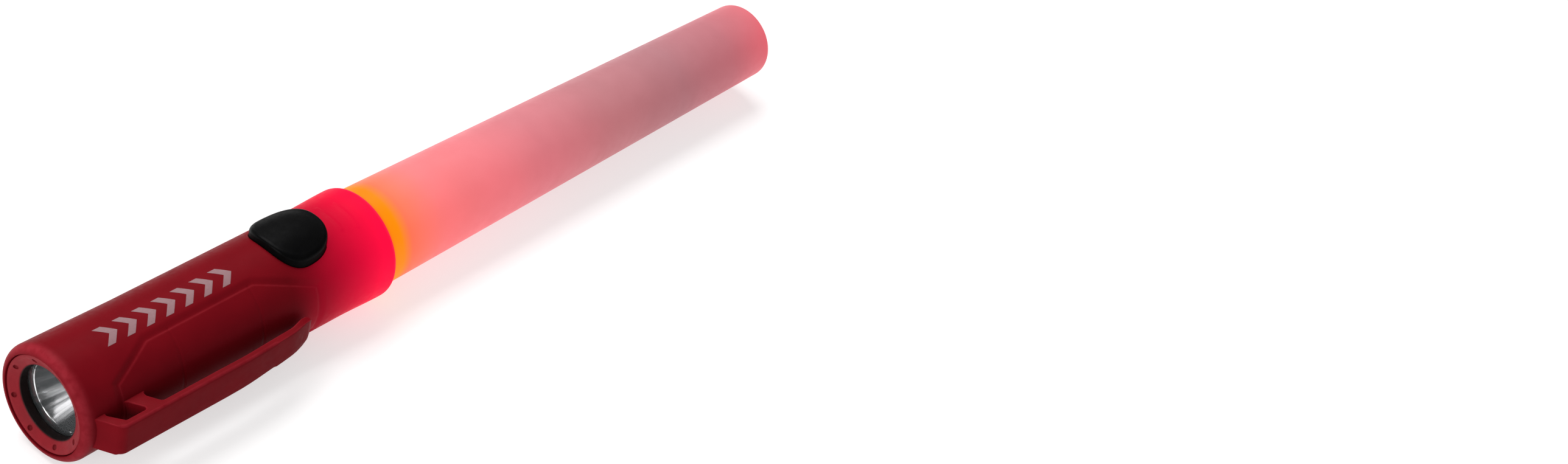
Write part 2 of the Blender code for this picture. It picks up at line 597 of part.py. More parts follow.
def make_wand_plug(axes):
    """The plug that joins the wand to the body, its seal, and the light board that it carries."""
    plug_radius = BORE_RADIUS - SLIDE_FIT
    neck_end = WAND_START + PLUG_NECK_LENGTH
    neck_radius = wand_radius(neck_end) - WAND_WALL - GAP
    board_room = plug_radius - PLUG_WALL
    board_front = PLUG_FRONT + PLUG_BOARD_INSET
    shelf_front = board_front + WAND_BOARD_THICKNESS + GAP
    shelf_back = shelf_front + PLUG_SHELF_THICKNESS
    groove_start = PLUG_FRONT + PLUG_SEAL_PLACE - PLUG_SEAL_WIRE - GAP
    groove_end = PLUG_FRONT + PLUG_SEAL_PLACE + PLUG_SEAL_WIRE + GAP
    seal_radius = BORE_RADIUS - GAP - PLUG_SEAL_WIRE
    groove_floor = seal_radius - PLUG_SEAL_WIRE - GAP
    bowl_radius = groove_floor - PLUG_WALL / 2
    outline = [
        (PLUG_FRONT, board_room),
        (PLUG_FRONT, plug_radius),
        (groove_start, plug_radius),
        (groove_start, groove_floor),
        (groove_end, groove_floor),
        (groove_end, plug_radius),
        (WAND_START - GAP, plug_radius),
        (WAND_START - GAP, neck_radius),
        (neck_end, neck_radius),
        (neck_end, bowl_radius),
        (shelf_back, board_room - PLUG_SHELF),
        (shelf_front, board_room - PLUG_SHELF),
        (shelf_front, board_room),
    ]
    new_object("wand_plug", turned(outline), "white_plastic", axes)
    seal_middle = PLUG_FRONT + PLUG_SEAL_PLACE
    new_object("wand_seal", seal_ring(seal_middle, seal_radius, PLUG_SEAL_WIRE), "black_rubber", axes)
    board = disc(board_front, WAND_BOARD_THICKNESS, board_room - GAP)
    new_object("wand_light_board", board, "board_green", axes)
    base = board_front + WAND_BOARD_THICKNESS + GAP
    dome = arc(base + WAND_LED_HEIGHT - WAND_LED_RADIUS, 0.0, WAND_LED_RADIUS, WAND_LED_RADIUS, 75, 0, 5)
    dome = [(max(x, base), radius) for x, radius in dome]
    light = turned([(base, 0.0), (base, WAND_LED_RADIUS), *dome], SMALL_STEPS, closed=False)
    new_object("wand_led", light, "led_red", axes)
    spring_start = CARRIER_BACK + GAP
    spring_length = board_front - GAP - spring_start
    spring = coil(spring_start, spring_length, WAND_SPRING_RADIUS / 2, WAND_SPRING_RADIUS,
                  WAND_SPRING_TURNS, WAND_SPRING_WIRE)
    new_object("wand_contact_spring", spring, "spring_steel", axes)


def make_button(axes):
    """The rubber button: a crowned cap with a skirt, and a nub under its roof."""
    outline = button_outline(0.0)
    crown_height = BUTTON_PROUD - BUTTON_EDGE_PROUD
    rings = [
        # share of the outline, height, and whether that height is above the barrel
        (1.00, BUTTON_BOTTOM, False),
        (1.00, BUTTON_EDGE_PROUD - BUTTON_EDGE_ROUND, True),
        (0.97, BUTTON_EDGE_PROUD, True),
        (0.90, BUTTON_EDGE_PROUD + 0.45 * crown_height, True),
        (0.66, BUTTON_EDGE_PROUD + 0.80 * crown_height, True),
        (0.33, BUTTON_EDGE_PROUD + 0.95 * crown_height, True),
    ]
    shape = bmesh.new()
    loops = []
    for scale, height, on_barrel in rings:
        loop = []
        for x, y in outline:
            y_here = y * scale
            z = height
            if on_barrel:
                z = math.sqrt((BODY_RADIUS + height) ** 2 - y_here ** 2)
            loop.append(shape.verts.new((x * scale, y_here, z)))
        loops.append(loop)
    crown = shape.verts.new((0.0, 0.0, BUTTON_TOP))
    hollow_scale = 1.0 - BUTTON_SKIRT / (BUTTON_LENGTH / 2)
    roof = NUB_BOTTOM + BUTTON_ROOF
    for height in (BUTTON_BOTTOM, roof):
        loops.insert(0, [shape.verts.new((x * hollow_scale, y * hollow_scale, height)) for x, y in outline])
    nub_scale = BUTTON_NUB_RADIUS / (BUTTON_WIDTH / 2)
    for height in (roof, NUB_BOTTOM):
        loops.insert(0, [shape.verts.new((x * nub_scale, y * nub_scale, height)) for x, y in outline])
    count = len(outline)
    for near, far in zip(loops, loops[1:]):
        for step in range(count):
            after = (step + 1) % count
            shape.faces.new((near[step], near[after], far[after], far[step]))
    for step in range(count):
        shape.faces.new((loops[-1][step], loops[-1][(step + 1) % count], crown))
    shape.faces.new(loops[0])
    new_object("button", shape, "black_rubber", axes, (BUTTON_MIDDLE, 0.0, 0.0))


def make_switch(axes):
    place = (BUTTON_MIDDLE, 0.0, 0.0)
    width = 2 * math.sqrt((BORE_RADIUS - GAP) ** 2 - SWITCH_BOARD_TOP ** 2)
    middle = (0.0, 0.0, SWITCH_BOARD_BOTTOM + SWITCH_BOARD_THICKNESS / 2)
    board = block((SWITCH_BOARD_LENGTH, width, SWITCH_BOARD_THICKNESS), middle)
    new_object("switch_board", board, "board_green", axes, place)
    housing = block((SWITCH_SIZE, SWITCH_SIZE, SWITCH_HEIGHT), (0.0, 0.0, SWITCH_BOTTOM + SWITCH_HEIGHT / 2))
    switch = new_object("tact_switch", housing, "black_plastic", axes, place)
    well = upright_pin(PLUNGER_RADIUS + GAP, SWITCH_BOTTOM + SWITCH_FLOOR, SWITCH_TOP + GAP)
    cut(switch, new_object("switch_well_tool", well, None, axes, place))
    plunger = upright_pin(PLUNGER_RADIUS, PLUNGER_BOTTOM, PLUNGER_TOP)
    new_object("switch_plunger", plunger, "white_plastic", axes, place)


def make_clip_arm(axes):
    """The springy arm: straight over the belt, then leaning in to a rounded tip by the body."""
    tip_reach = BODY_RADIUS + CLIP_TIP_LIFT
    tip_start = CLIP_TIP - CLIP_TIP_LENGTH
    inner_end = CLIP_INNER - CLIP_LEAN
    outer_end = CLIP_OUTER - CLIP_LEAN
    # x, inner reach, outer reach, share of the width's taper
    stations = [(CLIP_SPLIT + GAP, CLIP_INNER, CLIP_OUTER, 0.0), (CLIP_BEND, CLIP_INNER, CLIP_OUTER, 0.45)]
    # shares of the tip's length, of the inner and outer faces' way in, and of the taper
    turn_in = [(0.0, 0.0, 0.0, 0.75), (0.33, 0.36, 0.22, 0.80), (0.56, 0.84, 0.43, 0.86),
               (0.83, 1.0, 0.77, 1.0), (1.0, 0.96, 0.89, 1.6)]
    for along, inner_share, outer_share, taper in turn_in:
        inner = inner_end + (tip_reach - inner_end) * inner_share
        outer = outer_end + (tip_reach - outer_end) * outer_share
        stations.append((tip_start + CLIP_TIP_LENGTH * along, inner, outer, taper))
    shape = bmesh.new()
    loops = []
    for x, inner, outer, taper in stations:
        half = (CLIP_WIDTH - (CLIP_WIDTH - CLIP_TIP_WIDTH) * taper) / 2
        edge = min(CLIP_EDGE, 0.35 * (outer - inner))
        corners = [
            (inner, -half + edge), (inner, half - edge), (inner + edge, half), (outer - edge, half),
            (outer, half - edge), (outer, -half + edge), (outer - edge, -half), (inner + edge, -half),
        ]
        loops.append([shape.verts.new((x, -reach, z)) for reach, z in corners])
    count = len(loops[0])
    for near, far in zip(loops, loops[1:]):
        for step in range(count):
            after = (step + 1) % count
            shape.faces.new((near[step], near[after], far[after], far[step]))
    shape.faces.new(loops[0])
    shape.faces.new(loops[-1])
    pivot = Vector((CLIP_SPLIT + GAP / 2, -(CLIP_INNER + CLIP_OUTER) / 2, 0.0))
    bmesh.ops.translate(shape, vec=-pivot, verts=shape.verts)
    new_object("clip_arm", shape, "red_plastic", axes, pivot)


def main():
    clear_scene()
    axes = bpy.data.objects.new("baton_axes", None)
    bpy.context.scene.collection.objects.link(axes)
    axes.location = (-BATON_LENGTH / 2, (CLIP_OUTER - END_RADIUS) / 2, END_RADIUS)
    make_body(axes)
    make_bezel_ring(axes)
    make_torch_optics(axes)
    make_front_light(axes)
    make_contact_strip(axes)
    make_carrier(axes)
    make_cells(axes)
    make_wand_tube(axes)
    make_wand_plug(axes)
    make_button(axes)
    make_switch(axes)
    make_clip_arm(axes)


main()
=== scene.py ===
"""Traffic baton light: its visible pieces, finishes and studio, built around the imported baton.

The file is laid out as an add-on and run as a script. Lengths are in metres. Pieces are worked out in
the baton's own axes, where X runs back from the front rim, +Z passes through the middle of the button
and the belt clip is on the -Y side; a turn about the axis is counted from the button towards the clip.
"""

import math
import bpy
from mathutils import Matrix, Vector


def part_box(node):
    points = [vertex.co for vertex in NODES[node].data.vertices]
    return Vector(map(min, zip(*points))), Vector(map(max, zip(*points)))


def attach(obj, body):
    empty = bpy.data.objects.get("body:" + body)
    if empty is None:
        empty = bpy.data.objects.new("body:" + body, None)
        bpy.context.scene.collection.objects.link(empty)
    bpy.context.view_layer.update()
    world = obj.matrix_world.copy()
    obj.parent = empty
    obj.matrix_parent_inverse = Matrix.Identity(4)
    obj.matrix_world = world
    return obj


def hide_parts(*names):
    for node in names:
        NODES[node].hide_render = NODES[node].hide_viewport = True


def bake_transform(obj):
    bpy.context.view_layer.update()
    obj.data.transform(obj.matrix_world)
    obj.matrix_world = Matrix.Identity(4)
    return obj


bl_info = {
    "name": "Traffic Baton Light",
    "version": (1, 0, 0),
    "blender": (4, 5, 0),
    "location": "View3D > Sidebar > Baton",
    "description": "Builds the visible pieces, the finishes and the studio of a traffic baton light",
    "category": "Object",
}

import bmesh
import bpy
import numpy as np
from bpy.props import FloatProperty, FloatVectorProperty, IntProperty, PointerProperty
from mathutils import Matrix, Vector

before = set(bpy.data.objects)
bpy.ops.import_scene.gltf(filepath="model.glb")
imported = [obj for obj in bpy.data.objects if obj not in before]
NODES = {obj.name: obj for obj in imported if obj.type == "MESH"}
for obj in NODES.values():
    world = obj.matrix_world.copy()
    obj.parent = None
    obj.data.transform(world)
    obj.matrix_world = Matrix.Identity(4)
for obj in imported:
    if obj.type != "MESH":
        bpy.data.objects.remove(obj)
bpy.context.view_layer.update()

MM = 0.001

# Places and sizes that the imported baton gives
SHELL_LOW, SHELL_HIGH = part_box("body_shell")
TUBE_LOW, TUBE_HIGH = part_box("wand_tube")
RING_LOW, RING_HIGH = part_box("bezel_ring")
BUTTON_LOW, BUTTON_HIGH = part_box("button")
BOWL_LOW, BOWL_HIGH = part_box("reflector")
FRONT = SHELL_LOW.x
AXIS_Y = (TUBE_LOW.y + TUBE_HIGH.y) / 2
AXIS_Z = (TUBE_LOW.z + TUBE_HIGH.z) / 2
END_RADIUS = AXIS_Z - SHELL_LOW.z
BODY_LENGTH = SHELL_HIGH.x - FRONT
RING_RADIUS = (RING_HIGH.z - RING_LOW.z) / 2
BORE_RADIUS = (BOWL_HIGH.z - BOWL_LOW.z) / 2 + 0.3 * MM
CLIP_OUTER = AXIS_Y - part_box("clip_arm")[0].y
BUTTON_MIDDLE = (BUTTON_LOW.x + BUTTON_HIGH.x) / 2 - FRONT
WAND_START = TUBE_LOW.x - FRONT
BATON_LENGTH = TUBE_HIGH.x - FRONT

# The body's outside, with X from the front rim
RIM_LENGTH = 2.7 * MM
RIM_ROUND = 2.1 * MM
WAIST_START = 31.3 * MM
COLLAR_START = 91.8 * MM
LIP_LENGTH = 1.2 * MM
LIP_ROUND = 0.6 * MM
FIT_GAP = 0.3 * MM

# The sunk panel's corners, as (x in millimetres, turn in degrees), and what crosses the barrel
PANEL = (
    (12.6, 55.0), (25.6, 30.3), (62.0, 29.6), (80.4, 61.0),
    (80.4, 119.0), (62.0, 150.4), (25.6, 149.7), (12.6, 125.0))
CREASES = (33.0 * MM, 60.5 * MM)
RIBS = ((95.7 * MM, 5.0, 19.0), (100.6 * MM, 10.5, 18.5))

# The button from above: its half sizes, and how far it narrows to the rear
BUTTON_HALF_LENGTH = (BUTTON_HIGH.x - BUTTON_LOW.x) / 2
BUTTON_HALF_WIDTH = 9.8 * MM
BUTTON_MEAN_HALF = 9.6 * MM
BUTTON_NARROWING = 0.06
BUTTON_SQUARENESS = 2.5
BUTTON_GAP = 0.18 * MM

# The clip's free end: where its sides start to draw in, over what length, and how far
CLIP_TAPER = (40 * MM, 32 * MM, 0.9 * MM)
CLIP_TIP = (67.6 * MM, 8.0 * MM, 3.5 * MM)

# The dished ring, and the bowl behind it
DIMPLE_CIRCLE = 12.05 * MM
# Inside RING_WALL the ring is painted near-black as shade.
RING_WALL = 10.72 * MM
BOWL_MOUTH = 10.2 * MM
BOWL_NECK = 2.8 * MM
BOWL_WALL = 0.8 * MM

# The wand's cap, and the share of its rings that the straight taper takes
TIP_RADIUS = 11.9 * MM
CAP_LENGTH = 3.6 * MM
TAPER_SHARE = 0.6

# The printed chevrons
MARK_START = 26 * MM
MARK_STROKE = 2.6 * MM
MARK_SWEEP = 3.0 * MM
MARK_HEIGHT = 6.4 * MM
MARK_TURN = math.radians(8.5)
INK_LIFT = 0.04 * MM
INK_THICKNESS = 0.08 * MM
COPY_SPACING = 10.0

# What a clean cut leaves at least, in faces
BODY_FACES = 30000
RING_FACES = 4000

# The studio
FLOOR_HALF = 4.0
FLOOR_DROP = 0.2 * MM
CAMERA_PLACE = (-0.37231, -0.40375, 0.49451)
CAMERA_RIGHT = Vector((0.6083, -0.7667, 0.2054))
CAMERA_UP = Vector((0.3721, 0.5041, 0.7794))
CAMERA_AHEAD = Vector((0.7011, 0.3976, -0.5919))

BLACK = (0.0, 0.0, 0.0)
WHITE = (1.0, 1.0, 1.0)


def length(name, description, default):
    """A size that a user can change, with its default in millimetres."""
    return FloatProperty(name=name, description=description, default=default * MM, min=0.0, unit="LENGTH")


def colour(name, description, default):
    """A colour that a user can change."""
    return FloatVectorProperty(
        name=name, description=description, default=default, min=0.0, max=1.0, subtype="COLOR")


class BatonSizes(bpy.types.PropertyGroup):
    """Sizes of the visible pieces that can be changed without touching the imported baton."""

    flare: length("Flare", "How far the head and the collar stand beyond the barrel", 0.4)
    panel_depth: length("Panel depth", "Depth of the sunk panel behind the belt clip", 0.34)
    panel_slope: length("Panel slope", "Width of the soft slope down to the panel", 2.3)
    rib_height: length("Rib height", "Height of the two finger ribs behind the button", 0.24)
    clip_width: length("Clip width", "Width of the belt clip at its foot", 9.8)
    clip_thickness: length("Clip thickness", "Thickness of the belt clip's arm", 2.05)
    dimple_count: IntProperty(
        name="Dimples", description="Dimples around the bezel ring", default=8, min=1)
    dimple_radius: length("Dimple radius", "Radius of each dimple in the bezel ring", 0.75)
    mark_count: IntProperty(
        name="Chevrons", description="Printed chevrons along the barrel", default=7, min=1)
    mark_pitch: length("Chevron pitch", "Distance from one chevron to the next", 6.4)
    wand_wall: length("Wand wall", "Wall thickness of the frosted tube", 1.6)


class BatonColours(bpy.types.PropertyGroup):
    """Colours of the finishes."""

    body: colour("Body", "Moulded red of the body and clip", (0.150, 0.0035, 0.0075))
    ring: colour("Bezel ring", "Red of the ring around the lens", (0.215, 0.0105, 0.0165))
    marks: colour("Chevrons", "Printed chevrons", (0.215, 0.102, 0.112))
    button: colour("Button", "Black rubber of the button", (0.0014, 0.0014, 0.0015))
    collar_glow: colour("Collar glow", "Light that comes through the collar", (0.93, 0.0015, 0.048))
    wand: colour("Wand", "Frosted plastic of the wand, unlit", (0.172, 0.112, 0.120))
    band_glow: colour("Band glow", "Light at the base of the wand", (0.97, 0.230, 0.0))
    base_glow: colour("Base glow", "Light near the collar, beyond the band", (0.90, 0.115, 0.065))
    middle_glow: colour("Middle glow", "Light in the middle of the wand", (0.30, 0.080, 0.096))
    tip_glow: colour("Tip glow", "Light at the tip of the wand", (0.66, 0.035, 0.062))


# ---- shapes


def smooth(share):
    """Eases 0 to 1, clamped at both ends."""
    share = np.clip(share, 0.0, 1.0)
    return share * share * (3.0 - 2.0 * share)


def placed(points):
    """Points in the baton's axes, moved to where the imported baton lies."""
    return np.asarray(points, float) + np.array([FRONT, AXIS_Y, AXIS_Z])


def around(x, radius, turn):
    """Points at a distance along the axis, a radius, and a turn in degrees from the button."""
    angle = np.radians(turn)
    return np.stack(np.broadcast_arrays(x, -radius * np.sin(angle), radius * np.cos(angle)), axis=-1)


def new_piece(name, mesh, *materials):
    """Links a mesh to the scene as a piece at the origin."""
    piece = bpy.data.objects.new(name, mesh)
    bpy.context.scene.collection.objects.link(piece)
    for material in materials:
        mesh.materials.append(material)
    return piece


def loft(name, rings, closed=False, caps=False):
    """A mesh through rings of points. The rings join end to end where it is closed."""
    rings = np.asarray(rings, float)
    count, sides = rings.shape[:2]
    index = np.arange(count * sides).reshape(count, sides)
    near = index if closed else index[:-1]
    far = np.roll(index, -1, axis=0) if closed else index[1:]
    quads = np.stack([near, np.roll(near, -1, 1), np.roll(far, -1, 1), far], axis=-1).reshape(-1, 4)
    faces = quads.tolist()
    if caps:
        faces += [index[0][::-1].tolist(), index[-1].tolist()]
    mesh = bpy.data.meshes.new(name)
    mesh.from_pydata(rings.reshape(-1, 3).tolist(), [], faces)
    return mesh


def face_outwards(mesh):
    """Merges the mesh's doubles, then turns its faces outwards."""
    shape = bmesh.new()
    shape.from_mesh(mesh)
    bmesh.ops.remove_doubles(shape, verts=shape.verts, dist=1e-6)
    bmesh.ops.recalc_face_normals(shape, faces=shape.faces)
    shape.to_mesh(mesh)
    shape.free()


def soften(piece, angle=35.0):
    """Smooth shading with the real edges left sharp."""
    piece.data.shade_smooth()
    piece.data.set_sharp_from_angle(angle=math.radians(angle))


def settle(piece):
    """Turns the piece's evaluated shape into its own plain mesh."""
    graph = bpy.context.evaluated_depsgraph_get()
    mesh = bpy.data.meshes.new_from_object(
        piece.evaluated_get(graph), preserve_all_data_layers=True, depsgraph=graph)
    before = piece.data
    piece.modifiers.clear()
    piece.data = mesh
    mesh.name = piece.name
    bpy.data.meshes.remove(before)


def paint_points(mesh, name, values):
    """Stores one number for each point, for the materials to read."""
    attribute = mesh.attributes.new(name, "FLOAT", "POINT")
    attribute.data.foreach_set("value", np.asarray(values, np.float32).ravel())


def level(outline, z):
    """An outline seen from above, at one height."""
    return np.column_stack([outline, np.full(len(outline), z)])


def turned(name, outline, sides):
    """A mesh of a closed outline of (x, radius), turned around the baton's axis."""
    turns = np.arange(sides) * 360.0 / sides
    rings = np.array([placed(around(outline[:, 0], outline[:, 1], turn)) for turn in turns])
    mesh = loft(name, rings, closed=True)
    face_outwards(mesh)
    return mesh


def rounded_path(corners, step):
    """A closed outline through corners of (x, y, radius), with points at most a step apart."""
    points = []
    flat = [Vector(corner[:2]) for corner in corners]
    for number, (corner, (_, _, radius)) in enumerate(zip(flat, corners)):
        before, after = flat[number - 1] - corner, flat[(number + 1) % len(flat)] - corner
        opening = before.angle(after)
        if radius <= 0.0 or opening > math.pi - 1e-3:
            points.append(corner)
            continue
        before, after = before.normalized(), after.normalized()
        reach = radius / math.tan(opening / 2)
        middle = corner + (before + after).normalized() * (radius / math.sin(opening / 2))
        first, last = corner + before * reach - middle, corner + after * reach - middle
        sweep = first.angle(last)
        steps = max(3, math.ceil((math.pi - opening) / math.radians(9)))
        for part in range(steps + 1):
            share = part / steps
            arm = first * math.sin((1 - share) * sweep) + last * math.sin(share * sweep)
            points.append(middle + arm / math.sin(sweep))
    dense = []
    for number, point in enumerate(points):
        following = points[(number + 1) % len(points)]
        parts = max(1, math.ceil((following - point).length / step))
        dense += [point.lerp(following, part / parts) for part in range(parts)]
    return np.array([tuple(point) for point in dense])


# ---- node trees


def add_node(tree, kind, inputs=None, **settings):
    """Adds a node, sets it up, and links or sets each of its inputs."""
    made = tree.nodes.new(kind)
    for key, value in settings.items():
        setattr(made, key, value)
    for key, value in (inputs or {}).items():
        if isinstance(value, Term):
            tree.links.new(value.socket, made.inputs[key])
        else:
            made.inputs[key].default_value = value
    return made


def add(tree, kind, inputs=None, output=0, **settings):
    """Adds a node, and gives one of its outputs."""
    return Term(add_node(tree, kind, inputs, **settings).outputs[output])


def combine(tree, *parts):
    return add(tree, "ShaderNodeCombineXYZ", dict(enumerate(parts)))


def separate(tree, place):
    return [Term(socket) for socket in add_node(tree, "ShaderNodeSeparateXYZ", {0: place}).outputs]


class Term:
    """An output in a node tree. Arithmetic on it adds the nodes that work it out."""

    def __init__(self, socket):
        self.socket = socket
        self.tree = socket.id_data

    def maths(self, operation, *others):
        return add(self.tree, "ShaderNodeMath", dict(enumerate((self, *others))), operation=operation)

    def __add__(self, other):
        return self.maths("ADD", other)

    def __sub__(self, other):
        return self.maths("SUBTRACT", other)

    def __mul__(self, other):
        return self.maths("MULTIPLY", other)

    def __truediv__(self, other):
        return self.maths("DIVIDE", other)

    def __pow__(self, other):
        return self.maths("POWER", other)

    def spread(self, low, high, to_low=0.0, to_high=1.0):
        """Maps one range to another, and stops at its ends."""
        ends = {"Value": self, "From Min": low, "From Max": high, "To Min": to_low, "To Max": to_high}
        return add(self.tree, "ShaderNodeMapRange", ends)

    def blend(self, first, second):
        """A colour that is the first at 0 and the second at 1."""
        first, second = ((*c, 1.0) if isinstance(c, tuple) else c for c in (first, second))
        return add(self.tree, "ShaderNodeMix", {0: self, 6: first, 7: second}, output=2, data_type="RGBA")

    def ramp(self, *stops):
        """A colour from stops of (place, colour)."""
        made = add_node(self.tree, "ShaderNodeValToRGB", {0: self})
        elements = made.color_ramp.elements
        while len(elements) < len(stops):
            elements.new(0.5)
        for element, (place, shade) in zip(elements, stops):
            element.position = place
            element.color = (*shade, 1.0)
        return Term(made.outputs[0])


def scaled(shade, *factors):
    """A colour times a number, or times one number for each of its parts."""
    return tuple(part * factor for part, factor in zip(shade, factors * 3))


class Finish:
    """A procedural material on Object coordinates, with the steps that most finishes share."""

    def __init__(self, name, roughness=0.5, **constants):
        self.material = bpy.data.materials.new(name)
        self.material.use_nodes = True
        self.tree = self.material.node_tree
        self.shader = self.tree.nodes["Principled BSDF"]
        self.shader.inputs["Roughness"].default_value = roughness
        for key, value in constants.items():
            label = key.replace("_", " ").title().replace("Ior", "IOR")
            self.shader.inputs[label].default_value = value
        self.place = add(self.tree, "ShaderNodeTexCoord", output="Object")
        centring = {"Vector": self.place, "Location": (-FRONT, -AXIS_Y, -AXIS_Z)}
        self.local = add(self.tree, "ShaderNodeMapping", centring)
        self.x, self.y, self.z = separate(self.tree, self.local)

    def feed(self, name, term):
        """Links a term to one of the shader's inputs."""
        self.tree.links.new(term.socket, self.shader.inputs[name])

    def noise(self, size, detail=3.0, stretch=(1.0, 1.0, 1.0)):
        """Soft noise whose blobs are about a size across."""
        stretched = add(self.tree, "ShaderNodeMapping", {"Vector": self.place, "Scale": stretch})
        inputs = {"Vector": stretched, "Scale": 1.0 / size, "Detail": detail}
        return add(self.tree, "ShaderNodeTexNoise", inputs)

    def attribute(self, name):
        return add(self.tree, "ShaderNodeAttribute", output="Fac", attribute_name=name)

    def mottled(self, first, second, size):
        """Base colour that drifts between two colours."""
        self.feed("Base Color", self.noise(size).spread(0.3, 0.7).blend(first, second))

    def rough(self, low, high, size):
        """Roughness that drifts between two values."""
        self.feed("Roughness", self.noise(size, 4.0).spread(0.3, 0.7, low, high))

    def bump(self, height, distance, strength=1.0):
        """Adds a bump of a real depth, on top of any that is there."""
        inputs = {"Height": height, "Distance": distance, "Strength": strength}
        below = self.shader.inputs["Normal"].links
        if below:
            inputs["Normal"] = Term(below[0].from_socket)
        self.feed("Normal", add(self.tree, "ShaderNodeBump", inputs))

    def grain(self, size, distance):
        self.bump(self.noise(size, 2.0), distance)

    def glow(self, term, strength=1.0):
        self.feed("Emission Color", term)
        self.shader.inputs["Emission Strength"].default_value = strength


def glow_share(finish):
    """How much of the lamp's light comes through the body, from none by the button to all at the collar."""
    lean, ease = 0.16, 1.55
    reach = finish.x - (finish.z * lean).maths("MAXIMUM", 0.0)
    return reach.spread(70 * MM, 104 * MM) ** ease


def red_body_finish(colours):
    """Satin moulded red, lighter along its edges, partly from wear and partly as a painted highlight, with
    the lamp's light coming through its end.

    Painted shade: the bore inside is painted near-black.
    """
    finish = Finish("red_body", 0.42, ior=1.46, specular_ior_level=0.02)
    red = tuple(colours.body)
    lighter = (red[0] * 1.55, red[1] * 3.2 + 0.004, red[2] * 2.6 + 0.004)
    base = finish.noise(9 * MM).spread(0.35, 0.65).blend(scaled(red, 0.90), red)
    # Painted highlight, partly edge wear: the edge share lightens the red along the edges.
    wear_and_edge_highlight = finish.attribute("edge") * finish.noise(2.2 * MM, 5.0).spread(0.25, 0.6, 0.35, 1.0)
    flat = combine(finish.tree, 0.0, finish.y, finish.z)
    radius = add(finish.tree, "ShaderNodeVectorMath", {0: flat}, output=1, operation="LENGTH")
    # Painted shade: inside the bore the red turns near-black.
    outside = radius.spread(BORE_RADIUS + 0.15 * MM, BORE_RADIUS + 0.4 * MM)
    finish.feed("Base Color", outside.blend((0.012, 0.004, 0.005), wear_and_edge_highlight.blend(base, lighter)))
    finish.glow((glow_share(finish) * outside).blend(BLACK, tuple(colours.collar_glow)))
    finish.rough(0.36, 0.50, 1.6 * MM)
    finish.grain(0.28 * MM, 0.012 * MM)
    finish.bump(finish.noise(3.5 * MM, 1.0), 0.02 * MM)
    return finish.material


def red_ring_finish(colours):
    """The body's red, with painted shade darkening the dimples and painted near-black shade down the inner
    wall.
    """
    finish = Finish("red_ring", 0.42, ior=1.46, specular_ior_level=0.08)
    red = tuple(colours.ring)
    base = finish.noise(3 * MM).spread(0.35, 0.65).blend(scaled(red, 0.88), red)
    # Painted shade: the red darkens in the dimples.
    dimple_shaded = finish.attribute("pit").blend(base, scaled(red, 0.40, 0.25, 0.25))
    # Painted shade: the ring's inner wall turns near-black.
    finish.feed("Base Color", finish.attribute("wall").blend(dimple_shaded, (0.010, 0.006, 0.006)))
    finish.rough(0.38, 0.52, 1.2 * MM)
    finish.grain(0.25 * MM, 0.012 * MM)
    return finish.material


def marks_finish(colours):
    """Pad-printed ink with a few thin spots."""
    finish = Finish("printed_marks", 0.55)
    ink = tuple(colours.marks)
    thin = finish.noise(0.35 * MM, 4.0).spread(0.58, 0.72, 0.0, 0.45)
    finish.feed("Base Color", thin.blend(ink, scaled(ink, 0.5)))
    finish.rough(0.48, 0.62, 0.8 * MM)
    finish.grain(0.2 * MM, 0.006 * MM)
    return finish.material


def button_finish(colours):
    """Matt black rubber, polished a little where a thumb presses."""
    finish = Finish("button_rubber", 0.5, ior=1.5, specular_ior_level=0.03)
    black = tuple(colours.button)
    finish.mottled(black, scaled(black, 1.7), 2.5 * MM)
    matt = finish.noise(1.2 * MM, 4.0).spread(0.3, 0.7, 0.50, 0.62)
    finish.feed("Roughness", matt - finish.attribute("edge") * 0.22)
    finish.grain(0.22 * MM, 0.02 * MM)
    return finish.material


def wand_finish(colours):
    """Frosted tube, lit from its base: orange by the collar, red-pink beyond, brighter at the tip."""
    finish = Finish("frosted_wand", 0.45, ior=1.45, specular_ior_level=0.10)
    share = finish.x.spread(BODY_LENGTH, BATON_LENGTH)
    frost, band, low, middle, tip = (
        tuple(part) for part in (
            colours.wand, colours.band_glow, colours.base_glow, colours.middle_glow, colours.tip_glow))
    base = share.ramp(
        (0.0, (0.15, 0.040, 0.001)), (0.026, (0.15, 0.050, 0.001)), (0.055, (0.17, 0.090, 0.045)),
        (0.12, frost), (1.0, frost))
    cloudy = finish.noise(6 * MM).spread(0.3, 0.7).blend(base, scaled(frost, 0.92))
    finish.feed("Base Color", share.spread(0.05, 0.2).blend(base, cloudy))
    fading = 0.9 * (0.55 * low[0] + 0.45 * middle[0])
    light = share.ramp(
        (0.0, (0.85, 0.030, 0.012)), (0.010, band), (0.027, band), (0.048, low), (0.14, (0.86, 0.108, 0.110)),
        (0.24, (0.74, 0.102, 0.120)), (0.38, (fading, 0.098, 0.122)), (0.56, (0.38, 0.092, 0.105)),
        (0.74, middle), (0.88, (0.40, 0.068, 0.090)), (0.965, (0.56, 0.055, 0.080)), (1.0, tip))
    haze = finish.noise(22 * MM, 2.0).spread(0.3, 0.7, 0.94, 1.05)
    finish.glow(add(finish.tree, "ShaderNodeVectorMath", {0: light, "Scale": haze}, operation="SCALE"))
    finish.rough(0.40, 0.52, 3 * MM)
    finish.grain(0.18 * MM, 0.010 * MM)
    return finish.material


def lens_finish():
    """Clear plastic with a faint haze."""
    finish = Finish("clear_lens", 0.06, ior=1.49, alpha=0.045)
    finish.mottled((0.50, 0.54, 0.56), (0.58, 0.61, 0.62), 4 * MM)
    finish.rough(0.03, 0.09, 2 * MM)
    return finish.material


